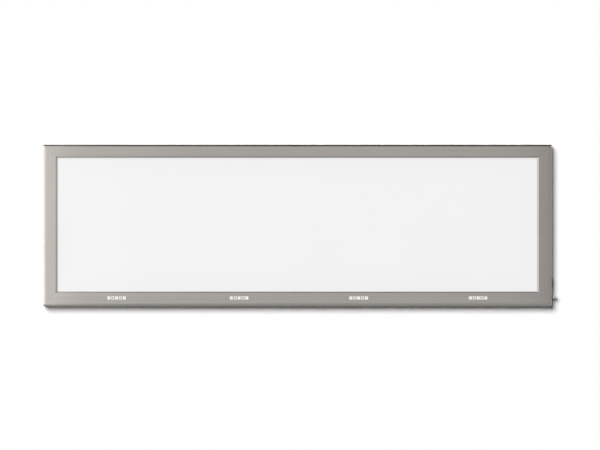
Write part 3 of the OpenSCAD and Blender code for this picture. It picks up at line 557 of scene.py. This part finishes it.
def in_edit(piece, choose, kind="VERT"):
    """Goes to edit mode with just the vertices, edges or faces that pass the test selected."""
    only_active(piece)
    bpy.ops.object.mode_set(mode="EDIT")
    bpy.ops.mesh.select_mode(type=kind)
    bpy.ops.mesh.select_all(action="DESELECT")
    mesh = bmesh.from_edit_mesh(piece.data)
    parts = {"VERT": mesh.verts, "EDGE": mesh.edges, "FACE": mesh.faces}[kind]
    for part in parts:
        part.select_set(choose(part))
    bmesh.update_edit_mesh(piece.data)


def out_of_edit():
    bpy.ops.object.mode_set(mode="OBJECT")


def moved(value):
    bpy.ops.transform.translate(value=value)


def scaled(value, centre=(0, 0, 0)):
    bpy.ops.transform.resize(value=value, center_override=centre)


def extruded(value=(0, 0, 0)):
    bpy.ops.mesh.extrude_region_move(TRANSFORM_OT_translate={"value": value})


def normals_outwards():
    bpy.ops.mesh.select_all(action="SELECT")
    bpy.ops.mesh.normals_make_consistent(inside=False)


def settled(piece):
    """Applies the piece's place, turn and size to its mesh."""
    only_active(piece)
    bpy.ops.object.transform_apply(location=True, rotation=True, scale=True)


def deleted(piece):
    only_active(piece)
    bpy.ops.object.delete()


def cut_away(piece, cutter):
    applied(piece, "BOOLEAN", operation="DIFFERENCE", solver="EXACT", object=cutter)
    deleted(cutter)


def primitive_cube(centre):
    bpy.ops.object.select_all(action="DESELECT")
    bpy.ops.mesh.primitive_cube_add(size=1, location=centre)
    return bpy.context.object


def round_bar(radius, low, high, vertices=32):
    """A cylinder along z from low to high, to be shaped further."""
    bpy.ops.object.select_all(action="DESELECT")
    bpy.ops.mesh.primitive_cylinder_add(
        vertices=vertices, radius=radius, depth=high - low, location=(0, 0, (low + high) / 2)
    )
    bar = bpy.context.object
    settled(bar)
    return bar


def facing_up(top):
    return lambda face: face.normal.z > SQUARE_ON and abs(face.calc_center_median().z - top) < NEAR


def rim_at(height):
    return lambda edge: all(abs(vert.co.z - height) < NEAR for vert in edge.verts)


def cross_cut(head, top):
    """Cuts the driver's cross into the head's flat."""
    for turn in (0, 90):
        cutter = primitive_cube((0, 0, top))
        cutter.scale = (RECESS_LENGTH, RECESS_WIDTH, 2 * RECESS_DEPTH)
        cutter.rotation_euler.z = math.radians(turn)
        settled(cutter)
        in_edit(cutter, lambda vert: vert.co.z < top)
        scaled((RECESS_TAPER, RECESS_TAPER, 1))
        out_of_edit()
        cut_away(head, cutter)


def screw_model(radius, height, domed):
    """A screw pointing down: the head's seat (or its flat, if countersunk) at z = 0."""
    top = height if domed else 0.0
    seat = 0.0 if domed else -height
    screw = round_bar(SHANK, -MODEL_LENGTH, seat)
    in_edit(screw, facing_up(seat), "FACE")
    flare = (radius / SHANK, radius / SHANK, 1)
    if domed:
        extruded()
        scaled(flare)
        extruded((0, 0, DOMED_RIM * height))
        last_share = 1.0
        for rise, share in DOME_RINGS:
            extruded((0, 0, rise * height))
            scaled((share / last_share, share / last_share, 1))
            last_share = share
    else:
        extruded((0, 0, SUNK_CONE * height))
        scaled(flare)
        extruded((0, 0, (1 - SUNK_CONE) * height))
    out_of_edit()
    in_edit(screw, rim_at(-MODEL_LENGTH), "EDGE")
    bpy.ops.mesh.bevel(offset=SHANK_POINT, segments=1)
    normals_outwards()
    out_of_edit()
    cross_cut(screw, top)
    return screw


def loose_boxes(name):
    """The box of each separate solid in a CAD node, as (low, high)."""
    mesh = bmesh.new()
    mesh.from_mesh(nodes[name].data)
    bmesh.ops.remove_doubles(mesh, verts=mesh.verts, dist=NEAR)
    left = set(mesh.verts)
    boxes = []
    while left:
        edge_of_search = [left.pop()]
        found = []
        while edge_of_search:
            vert = edge_of_search.pop()
            found.append(vert.co.copy())
            for edge in vert.link_edges:
                other = edge.other_vert(vert)
                if other in left:
                    left.remove(other)
                    edge_of_search.append(other)
        boxes.append((
            Vector([min(co[axis] for co in found) for axis in range(3)]),
            Vector([max(co[axis] for co in found) for axis in range(3)]),
        ))
    mesh.free()
    return sorted(boxes, key=lambda box: tuple(box[0]))


def copied(model):
    only_active(model)
    bpy.ops.object.duplicate(linked=False)
    return bpy.context.object


def joined(pieces):
    bpy.ops.object.select_all(action="DESELECT")
    for piece in pieces:
        piece.select_set(True)
    bpy.context.view_layer.objects.active = pieces[0]
    bpy.ops.object.join()
    return bpy.context.object


def screws_at(name, material):
    """Puts a screw in the place of each one in the CAD node."""
    made = []
    for low, high in loose_boxes(name):
        size = high - low
        upright = abs(size.x - size.y) < SAME_SIZE
        width = size.x
        length = size.z if upright else size.y
        domed = abs(width - 2 * SUNK_RADIUS) > SAME_SIZE
        screw = copied(pan_screw if domed else sunk_screw)
        ratio = width / (2 * (PAN_RADIUS if domed else SUNK_RADIUS))
        head_rise = PAN_HEIGHT if domed else 0.0
        in_edit(screw, lambda vert: True)
        scaled((ratio, ratio, 1))
        out_of_edit()
        in_edit(screw, lambda vert: vert.co.z < -MODEL_LENGTH / 2)
        moved((0, 0, MODEL_LENGTH - (length - head_rise)))
        out_of_edit()
        middle = (low + high) / 2
        if upright:
            screw.rotation_euler = (math.radians(180), 0, 0)
            screw.location = (middle.x, middle.y, low.z + head_rise)
        else:
            screw.rotation_euler = (math.radians(-90), 0, 0)
            screw.location = (middle.x, high.y - head_rise, middle.z)
        settled(screw)
        made.append(screw)
    whole = joined(made)
    smoothed(whole)
    fitted(whole, name + "_cross", material, nodes[name]["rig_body"])
    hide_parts(name)
    return whole


pan_screw = screw_model(PAN_RADIUS, PAN_HEIGHT, domed=True)
sunk_screw = screw_model(SUNK_RADIUS, SUNK_HEIGHT, domed=False)
screws_at("frame_screws", zinc_plate)

# Screen: one sheet of opal acrylic, satin on its face, evenly lit from behind and a touch dimmer
# along its edges
OPAL = (0.9, 0.9, 0.9)
SCREEN_GLOW = 0.735
SCREEN_BASE = 0.2
GLOW_REACH = 0.08
RIM_GLOW = 0.965
CLOUDS_VARY = 0.006


def dressed(names, material):
    """Gives CAD nodes their finish."""
    for name in names:
        piece = nodes[name]
        if not piece.material_slots:
            piece.data.materials.append(None)
        for place in piece.material_slots:
            place.material = material


def edge_falloff(tree, place, centre, half_x, half_z, reach):
    """1 well inside a panel, falling to 0 at its border over the given reach."""
    parts = node(tree, "ShaderNodeSeparateXYZ", {0: place})
    inner_x = math_node(
        tree, "SUBTRACT", half_x,
        math_node(tree, "ABSOLUTE", math_node(tree, "SUBTRACT", parts.outputs[0], centre[0])),
    )
    inner_z = math_node(
        tree, "SUBTRACT", half_z,
        math_node(tree, "ABSOLUTE", math_node(tree, "SUBTRACT", parts.outputs[2], centre[1])),
    )
    return between(tree, math_node(tree, "MINIMUM", inner_x, inner_z), 0.0, reach)


opal, tree = new_material("opal_screen")
place = object_place(tree)
falloff = edge_falloff(
    tree, place, (middle_x, middle_z), half_width - SIDE_BAR, half_height - BOTTOM_BAR, GLOW_REACH
)
cloud = about_one(tree, noise(tree, place, scale=3.0), CLOUDS_VARY)
glow = product(tree, switched(tree, falloff, off=RIM_GLOW, on=1.0), cloud)
surface(
    tree, Base_Color=tinted(tree, (SCREEN_BASE,) * 3, cloud), Roughness=0.45,
    Emission_Color=tinted(tree, OPAL, glow), Emission_Strength=SCREEN_GLOW,
)
bumped(tree, noise(tree, place, scale=900.0), strength=0.05, distance=0.00002)
dressed(["diffuser_screen"], opal)

# Screen seals: strips of black closed-cell foam beside and below the screen, glued behind the bars'
# lips so that the screen can't rattle
FOAM = (0.045, 0.045, 0.047)
foam = plain_finish("foam", FOAM, rough=0.95, scale=2200.0, variation=0.25, height=0.0002)
dressed(["screen_seals"], foam)

# Light guides, dividers and reflector: clear acrylic plates with a printed grid of white dots, lit at
# their edges, with strips of white film between the banks and a sheet of it behind
CLEAR = (0.93, 0.96, 0.95)
DOT_PITCH = 0.003
DOT_RADIUS = 0.28
DOT_BLUR = 0.05
FILM_WHITE = (0.86, 0.865, 0.86)

guide_acrylic, tree = new_material("guide_acrylic")
place = object_place(tree)
cells = node(
    tree, "ShaderNodeTexVoronoi",
    {"Vector": place, "Scale": 1 / DOT_PITCH, "Randomness": 0.0},
).outputs["Distance"]
dots = between(tree, cells, DOT_RADIUS, DOT_RADIUS + DOT_BLUR, 1.0, 0.0)
grain, factor = weathered(tree, place, scale=300.0, variation=0.02)
surface(
    tree, Base_Color=tinted(tree, mixed_colour(tree, dots, CLEAR, FILM_WHITE), factor), IOR=1.49,
    Roughness=switched(tree, dots, off=0.03, on=0.6),
    Transmission_Weight=switched(tree, dots, off=1.0, on=0.0),
)
bumped(tree, grain, strength=0.05, distance=0.00001)
dressed(["light_guides"], guide_acrylic)

film = plain_finish("film", FILM_WHITE, rough=0.55, scale=900.0, variation=0.02)
dressed(["bank_dividers", "reflector_sheet"], film)

# Light tray: a shallow box folded from aluminium sheet, which holds the strips and the guides and is
# slotted for the strips' plugs
eased("light_tray", rolled_sheet, edge=0.0002)

# LED strips: white boards edge-on to the guides, with chips under yellow phosphor on the inner side
# and a white nylon plug behind the tray
BOARD_WHITE = (0.84, 0.85, 0.83)
PHOSPHOR = (0.93, 0.70, 0.16)
NYLON = (0.80, 0.78, 0.70)
TRAY_SHEET = 0.001
STRIP_FACE = 0.0022
ZONE_MARGIN = 0.0001
tray_low, tray_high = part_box("light_tray")
between_strips = (tray_low.z + STRIP_FACE, tray_high.z - STRIP_FACE)
chip_limits = {
    "x": (tray_low.x, tray_high.x), "y": (tray_low.y, tray_high.y - TRAY_SHEET), "z": between_strips
}
plug_limits = {"y": (tray_high.y + 2 * ZONE_MARGIN, 0), "z": between_strips}
strip_finish = mixed_finish(
    "strip_board", BOARD_WHITE,
    [zone([chip_limits], PHOSPHOR, rough=0.3), zone([plug_limits], NYLON, rough=0.45)], rough=0.4,
)
dressed(["led_strips"], strip_finish)

# Film grips: moulded cheeks with sloping slots behind the top bar, steel axles that ride up in them,
# and sleeves of soft plastic that turn on the axles and pin a film to the screen by their weight
CHEEK = (0.72, 0.72, 0.70)
SLEEVE = (0.70, 0.695, 0.66)
cheek_plastic = plain_finish("cheek_plastic", CHEEK, rough=0.45, scale=800.0, variation=0.03)
sleeve_plastic = plain_finish(
    "sleeve_plastic", SLEEVE, rough=0.62, scale=1.0, stretch=(1200, 600, 600), variation=0.05,
    height=0.00004,
)
drawn_steel = plain_finish(
    "drawn_steel", ZINC, rough=0.24, metallic=1.0, scale=1.0, stretch=(20, 2500, 2500), variation=0.04
)
eased("roller_cheeks", cheek_plastic, edge=0.0003)
for bank in (1, 2, 3, 4):
    eased(f"roller_axle_{bank}", drawn_steel, edge=0.0003)
    eased(f"film_roller_{bank}", sleeve_plastic, edge=0.0003, segments=3)

# Keys: satin white caps through the bottom bar's slots, five to a bank. Every second one has a square
# hollow with a greyer floor; the flange behind the bar holds the cap in, the stem works the switch
KEY_WHITE = (0.86, 0.86, 0.855)
KEY_GREY = (0.47, 0.47, 0.465)
KEY_NAMES = ["on_off", "dim", "preset", "bright", "auto"]
CAP_ROUND = 0.0007
CAP_EDGE = 0.00025
DISH_DEPTH = 0.00015
DISH_RING = 0.0011
DISH_SHARES = (0.0, 0.5, 0.35, 0.15)
FLANGE_LIP = 0.00065
FLANGE_THICK = 0.001
HOLLOW_SIZE = 0.0054
HOLLOW_DEPTH = 0.0004
HOLLOW_EDGE = 0.0001
STEM_RADIUS = 0.0016
CAP_BACK = front_y + 0.0023
FLANGE_FRONT = front_y + 0.0018
RIM_REACH = 0.001


def key_model(name, hollow):
    """A cap that points to -y, its flange and its stem, in the place of the named CAD key."""
    low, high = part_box(name)
    size = high - low
    middle = (low + high) / 2
    cap_width = size.x - 2 * FLANGE_LIP
    cap_height = size.z - 2 * FLANGE_LIP
    key = primitive_cube((middle.x, (low.y + CAP_BACK) / 2, middle.z))
    key.scale = (cap_width, CAP_BACK - low.y, cap_height)
    settled(key)
    in_edit(key, lambda face: face.normal.y < -SQUARE_ON, "FACE")
    if hollow:
        bpy.ops.mesh.inset(thickness=(cap_width - HOLLOW_SIZE) / 2 - HOLLOW_EDGE)
        bpy.ops.mesh.inset(thickness=HOLLOW_EDGE)
        moved((0, HOLLOW_EDGE, 0))
        extruded((0, HOLLOW_DEPTH - HOLLOW_EDGE, 0))
    else:
        for share in DISH_SHARES:
            bpy.ops.mesh.inset(thickness=DISH_RING)
            moved((0, share * DISH_DEPTH, 0))
    out_of_edit()

    def at_rim(edge):
        return all(
            max(abs(vert.co.x - middle.x), abs(vert.co.z - middle.z)) > size.x / 2 - RIM_REACH
            for vert in edge.verts
        )

    def upright(edge):
        return at_rim(edge) and abs(edge.verts[0].co.y - edge.verts[1].co.y) > RIM_REACH

    def round_the_front(edge):
        return (
            at_rim(edge)
            and all(abs(vert.co.y - low.y) < NEAR for vert in edge.verts)
            and any(abs(face.normal.y) < 1 - SQUARE_ON for face in edge.link_faces)
        )

    def at_the_back(face):
        return face.normal.y > SQUARE_ON and face.calc_center_median().y > FLANGE_FRONT

    in_edit(key, upright, "EDGE")
    bpy.ops.mesh.bevel(offset=CAP_ROUND, segments=5)
    out_of_edit()
    in_edit(key, round_the_front, "EDGE")
    bpy.ops.mesh.bevel(offset=CAP_EDGE, segments=3)
    out_of_edit()
    in_edit(key, at_the_back, "FACE")
    extruded()
    scaled((size.x / cap_width, 1, size.z / cap_height), tuple(middle))
    moved((0, FLANGE_FRONT - CAP_BACK, 0))
    extruded((0, FLANGE_THICK, 0))
    extruded()
    ratio = 2 * STEM_RADIUS / size.x
    scaled((ratio, 1, ratio), tuple(middle))
    extruded((0, high.y - FLANGE_FRONT - FLANGE_THICK, 0))
    normals_outwards()
    out_of_edit()
    smoothed(key, angle=30)
    return key


cap_white = plain_finish("cap_white", KEY_WHITE, rough=0.38, scale=1500.0, variation=0.015, height=0.00001)
floor_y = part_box("bank_1_dim_key")[0].y + HOLLOW_DEPTH
hollow_floor = {"y": (floor_y - ZONE_MARGIN / 2, floor_y + ZONE_MARGIN)}
cap_grey_centre = mixed_finish(
    "cap_grey_centre", KEY_WHITE, [zone([hollow_floor], KEY_GREY, rough=0.3)], rough=0.38,
    scale=1500.0, variation=0.015, height=0.00001,
)
solid_key = key_model("bank_1_on_off_key", hollow=False)
hollow_key = key_model("bank_1_dim_key", hollow=True)
for bank in (1, 2, 3, 4):
    for count, key_name in enumerate(KEY_NAMES):
        hollow = count % 2 == 1
        name = f"bank_{bank}_{key_name}_key"
        model_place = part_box("bank_1_dim_key" if hollow else "bank_1_on_off_key")[0]
        cap = copied(hollow_key if hollow else solid_key)
        cap.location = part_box(name)[0] - model_place
        settled(cap)
        fitted(
            cap, name + "_cap",
            cap_grey_centre if hollow else cap_white, nodes[name]["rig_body"],
        )
        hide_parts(name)

# Key boards: one green board of five tact switches to a bank, screwed to brass posts behind the bar,
# with a nylon plug at the rear
SOLDER_GREEN = (0.025, 0.15, 0.065)
SWITCH_BLACK = (0.03, 0.03, 0.032)
BOARD_THICKNESS = 0.0016
board_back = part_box("key_switches")[1].y + BOARD_THICKNESS
green_board = mixed_finish(
    "green_board", SOLDER_GREEN, [zone([{"y": (board_back + ZONE_MARGIN, 0)}], NYLON, rough=0.45)],
    rough=0.35, scale=250.0, variation=0.18,
)
black_plastic = plain_finish("black_plastic", SWITCH_BLACK, rough=0.42, scale=1300.0, variation=0.1)
eased("key_boards", green_board, edge=0.00015)
eased("key_switches", black_plastic, edge=0.0002)
screws_at("key_board_screws", zinc_plate)

# Standoffs: turned and hexagonal posts of bare brass, which carry the key boards, the tray and the
# dimmer board
BRASS = (0.62, 0.44, 0.16)
brass = plain_finish("brass", BRASS, rough=0.28, metallic=1.0, scale=900.0, variation=0.06)
eased("standoffs", brass, edge=0.0002)

# Power supply: a folded, zinc-plated case with vents, and in it a board with a transformer, heat sinks,
# capacitors and screw terminals
PAPER_TAN = (0.40, 0.24, 0.08)
COIL_TAPE = (0.72, 0.52, 0.05)
TERMINAL_GREEN = (0.03, 0.26, 0.10)
COIL_REACH = (0.0123, 0.0102)
SINK_PLACE = 0.015
SINK_REACH = 0.0012
TERMINAL_PLACE = 0.084
TERMINAL_REACH = 0.0052
PAST_THE_END = 0.001


def band(middle, reach):
    """Limits that lie the reach to either side of the middle."""
    return middle - reach, middle + reach


supply_low, supply_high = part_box("power_supply_board")
supply_middle = (supply_low + supply_high) / 2
raised = {"y": (supply_low.y - PAST_THE_END, supply_high.y - BOARD_THICKNESS - ZONE_MARGIN)}
coil = {
    **raised, "x": band(supply_middle.x, COIL_REACH[0]), "z": band(supply_middle.z, COIL_REACH[1])
}
sinks = [
    {**raised, "z": band(supply_middle.z + side * SINK_PLACE, SINK_REACH)} for side in (-1, 1)
]
terminals = [
    {**raised, "x": band(supply_middle.x + side * TERMINAL_PLACE, TERMINAL_REACH)}
    for side in (-1, 1)
]
tan_board = mixed_finish(
    "tan_board", PAPER_TAN,
    [
        zone([raised], SWITCH_BLACK, rough=0.35), zone(sinks, MILL, rough=0.35, metallic=1.0),
        zone(terminals, TERMINAL_GREEN, rough=0.4), zone([coil], COIL_TAPE, rough=0.3),
    ],
    rough=0.5, scale=300.0, variation=0.12,
)
folded_zinc = plain_finish(
    "folded_zinc", ZINC, rough=0.33, metallic=1.0, scale=1.0, stretch=(40, 1200, 1200), variation=0.04
)
eased("power_supply_case", folded_zinc, edge=0.0002)
eased("power_supply_board", tan_board, edge=0.0002)

# Dimmer board: a blue board on posts behind the tray, with the banks' white nylon plugs along its
# edges and black chips between them
SOLDER_BLUE = (0.015, 0.075, 0.27)
CHIPS_RISE = 0.0035
CHIPS_REACH = (0.06, 0.01)
dimmer_low, dimmer_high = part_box("dimmer_board")
dimmer_middle = (dimmer_low + dimmer_high) / 2
on_board = {"y": (dimmer_low.y - PAST_THE_END, dimmer_high.y - BOARD_THICKNESS - ZONE_MARGIN)}
chips = {
    **on_board, "x": band(0, CHIPS_REACH[0]), "z": band(dimmer_middle.z + CHIPS_RISE, CHIPS_REACH[1])
}
blue_board = mixed_finish(
    "blue_board", SOLDER_BLUE,
    [zone([on_board], NYLON, rough=0.45), zone([chips], SWITCH_BLACK, rough=0.35)],
    rough=0.35, scale=280.0, variation=0.15,
)
eased("dimmer_board", blue_board, edge=0.00015)

# Mains inlet: a black appliance inlet in the bottom bar's underside, held by two screws through its
# flange, with nickel-plated pins in the socket and blades behind
NICKEL = (0.63, 0.60, 0.55)
PIN_PLACES = ((-0.007, 0.002), (0, -0.002), (0.007, 0.002))
PIN_REACH = (0.0021, 0.0011)
PIN_ENDS = (0.0059, 0.0169)
INLET_BODY = 0.0241
inlet_low, inlet_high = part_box("mains_inlet")
inlet_middle = (inlet_low + inlet_high) / 2
pins = [
    {
        "x": band(inlet_middle.x + aside, PIN_REACH[0]),
        "y": band(inlet_middle.y + rise, PIN_REACH[1]),
        "z": (inlet_low.z + PIN_ENDS[0], inlet_low.z + PIN_ENDS[1]),
    }
    for aside, rise in PIN_PLACES
]
inlet_blades = {"z": (inlet_low.z + INLET_BODY, inlet_high.z + PAST_THE_END)}
inlet_finish = mixed_finish(
    "inlet_plastic", SWITCH_BLACK, [zone([*pins, inlet_blades], NICKEL, rough=0.25, metallic=1.0)],
    rough=0.42, scale=1300.0, variation=0.1,
)
eased("mains_inlet", inlet_finish, edge=0.00025)

# Mains switch: a black bezel that snaps into the right-hand bar, blades behind it, and a glossy rocker
# on two pins, marked with the bar and the ring for on and off
ROCKER_BLACK = (0.012, 0.012, 0.013)
MARK_WHITE = (0.75, 0.75, 0.74)
MARK_REACH = 0.0095
MARK_SIZE = 0.0024
MARK_LINE = 0.00035
MARK_DEPTH = 0.001
SWITCH_BODY = 0.0241
switch_blades = {"x": (0, frame_high.x - SWITCH_BODY)}
housing_finish = mixed_finish(
    "housing_plastic", SWITCH_BLACK, [zone([switch_blades], NICKEL, rough=0.25, metallic=1.0)],
    rough=0.42, scale=1300.0, variation=0.1,
)
eased("switch_housing", housing_finish, edge=0.0004, segments=3)

rocker_low, rocker_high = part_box("switch_rocker")
housing_low, housing_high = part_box("switch_housing")
mark_y = (rocker_low.y + rocker_high.y) / 2
mark_z = (housing_low.z + housing_high.z) / 2
rocker_gloss, tree = new_material("rocker_gloss")
place = object_place(tree)
grain, factor = weathered(tree, place, scale=900.0, variation=0.1)
parts = node(tree, "ShaderNodeSeparateXYZ", {0: place})
across = math_node(tree, "ABSOLUTE", math_node(tree, "SUBTRACT", parts.outputs[1], mark_y))
above = math_node(tree, "SUBTRACT", parts.outputs[2], mark_z + MARK_REACH)
below = math_node(tree, "SUBTRACT", parts.outputs[2], mark_z - MARK_REACH)
bar = product(
    tree, math_node(tree, "LESS_THAN", across, MARK_LINE),
    math_node(tree, "LESS_THAN", math_node(tree, "ABSOLUTE", above), MARK_SIZE),
)
from_centre = math_node(
    tree, "SQRT", math_node(tree, "ADD", product(tree, across, across), product(tree, below, below))
)
off_line = math_node(
    tree, "ABSOLUTE", math_node(tree, "SUBTRACT", from_centre, MARK_SIZE - MARK_LINE)
)
ring = math_node(tree, "LESS_THAN", off_line, MARK_LINE)
outer_face = math_node(tree, "GREATER_THAN", parts.outputs[0], frame_high.x - MARK_DEPTH)
marks = product(tree, outer_face, math_node(tree, "MAXIMUM", bar, ring))
surface(
    tree, Base_Color=tinted(tree, mixed_colour(tree, marks, ROCKER_BLACK, MARK_WHITE), factor),
    Roughness=varied(tree, grain, 0.14, 0.2),
)
bumped(tree, grain, strength=0.1, distance=0.00001)
eased("switch_rocker", rocker_gloss, edge=0.0005, segments=3)

# Fuse: a black screw-in holder with a hexagon nut and two blades, a grey cap with a slot for a coin
# and grip flutes round it, and the glass fuse in the cap's clip
CAP_GREY = (0.44, 0.44, 0.435)
SLEEVE_GREY = (0.16, 0.16, 0.16)
GLASS = (0.90, 0.92, 0.90)
FLUTES = 16
FLUTE_RADIUS = 0.0006
FLUTE_START = 0.0012
FLUTE_LENGTH = 0.009
KNOB_GAP = 0.003
HOLDER_BODY = 0.0301
END_CAP = 0.005
fuse_blades = {"x": (0, frame_high.x - HOLDER_BODY)}
holder_finish = mixed_finish(
    "holder_plastic", SWITCH_BLACK, [zone([fuse_blades], NICKEL, rough=0.25, metallic=1.0)],
    rough=0.4, scale=1300.0, variation=0.1,
)
eased("fuse_holder", holder_finish, edge=0.0003)

cap_low, cap_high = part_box("fuse_cap")
knob_start = frame_high.x + KNOB_GAP
clip_limits = {"x": (0, knob_start - ZONE_MARGIN)}
grey_knob = mixed_finish(
    "grey_knob", CAP_GREY, [zone([clip_limits], SLEEVE_GREY, rough=0.45)],
    rough=0.36, scale=1300.0, variation=0.06,
)
knob = eased("fuse_cap", grey_knob, edge=0.0004, segments=3)
knob_y = (cap_low.y + cap_high.y) / 2
knob_z = (cap_low.z + cap_high.z) / 2
knob_radius = (cap_high.z - cap_low.z) / 2
for count in range(FLUTES):
    turn = (count + 0.5) * 2 * math.pi / FLUTES
    flute = round_bar(FLUTE_RADIUS, 0.0, FLUTE_LENGTH, vertices=12)
    flute.rotation_euler = SIDEWAYS
    flute.location = (
        knob_start + FLUTE_START, knob_y + knob_radius * math.cos(turn),
        knob_z + knob_radius * math.sin(turn),
    )
    settled(flute)
    cut_away(knob, flute)
smoothed(knob, angle=30)

fuse_low, fuse_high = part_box("fuse_link")
fuse_metal, tree = new_material("fuse_metal")
place = object_place(tree)
grain, factor = weathered(tree, place, scale=900.0, variation=0.05)
tube = inside(tree, place, x=(fuse_low.x + END_CAP, fuse_high.x - END_CAP))
surface(
    tree, Base_Color=tinted(tree, mixed_colour(tree, tube, NICKEL, GLASS), factor), IOR=1.47,
    Metallic=switched(tree, tube, off=1.0, on=0.0), Roughness=switched(tree, tube, off=0.22, on=0.03),
    Transmission_Weight=tube,
)
bumped(tree, grain, strength=0.1, distance=0.00001)
eased("fuse_link", fuse_metal, edge=0.0003)

# Wiring: sheathed cables from the dimmer to each bank's strips and keys, and brown mains leads between
# the inlet, the fuse, the switch and the supply
SHEATH = (0.055, 0.055, 0.06)
LEAD_BROWN = (0.10, 0.035, 0.015)
LEADS_START = 0.004
LEADS_FRONT = -0.019
mains_side = {"x": (supply_high.x + LEADS_START, frame_high.x), "y": (LEADS_FRONT, 0)}
sheath = mixed_finish(
    "cable_sheath", SHEATH, [zone([mains_side], LEAD_BROWN, rough=0.45)], rough=0.5, scale=700.0,
    variation=0.1,
)
dressed(["wiring"], sheath)

# Back panel: steel sheet with a light grey powder coat, slotted with vents behind each bank and cut
# away behind the keyholes
POWDER = (0.60, 0.60, 0.585)
panel_paint = plain_finish(
    "panel_paint", POWDER, rough=0.55, scale=1600.0, variation=0.03, height=0.00006
)
eased("back_panel", panel_paint, edge=0.00015, segments=1)
BLACKENED = (0.13, 0.13, 0.135)
dark_screws = plain_finish("dark_screws", BLACKENED, rough=0.38, metallic=1.0, scale=900.0, variation=0.08)
screws_at("back_panel_screws", dark_screws)

# Hanger plates: zinc-plated steel sheet at the back panel's cut-outs, with keyholes that drop over
# the heads of screws in the wall
eased("hanger_plates", folded_zinc, edge=0.0003)

# Wall bumpers: four feet of black rubber glued to the back panel, each with a rounded rim and a
# moulded hollow
RUBBER = (0.035, 0.035, 0.036)
RIM_ROUND = 0.0012
FOOT_HOLLOW = 0.45
FOOT_SLOPE = 0.0006
FOOT_DEPTH = 0.0009
rubber = plain_finish("rubber", RUBBER, rough=0.8, scale=1800.0, variation=0.15, height=0.00006)
places = loose_boxes("wall_bumpers")
low, high = places[0]
bumper_radius = (high.x - low.x) / 2
bumper_height = high.y - low.y
bumper_model = round_bar(bumper_radius, 0.0, bumper_height, vertices=48)
in_edit(bumper_model, rim_at(bumper_height), "EDGE")
bpy.ops.mesh.bevel(offset=RIM_ROUND, segments=5)
out_of_edit()
in_edit(bumper_model, facing_up(bumper_height), "FACE")
bpy.ops.mesh.inset(thickness=(1 - FOOT_HOLLOW) * bumper_radius - RIM_ROUND)
bpy.ops.mesh.inset(thickness=FOOT_SLOPE)
moved((0, 0, -FOOT_DEPTH))
out_of_edit()
bumpers = []
for low, high in places:
    bumper = copied(bumper_model)
    bumper.rotation_euler = (math.radians(-90), 0, 0)
    bumper.location = ((low.x + high.x) / 2, low.y, (low.z + high.z) / 2)
    settled(bumper)
    bumpers.append(bumper)
feet = joined(bumpers)
smoothed(feet)
fitted(feet, "wall_bumpers_round", rubber, nodes["wall_bumpers"]["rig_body"])
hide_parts("wall_bumpers")

# The models of the screws, the keys and the bumper have been copied to their places, so they go
for model in (pan_screw, sunk_screw, solid_key, hollow_key, bumper_model):
    deleted(model)
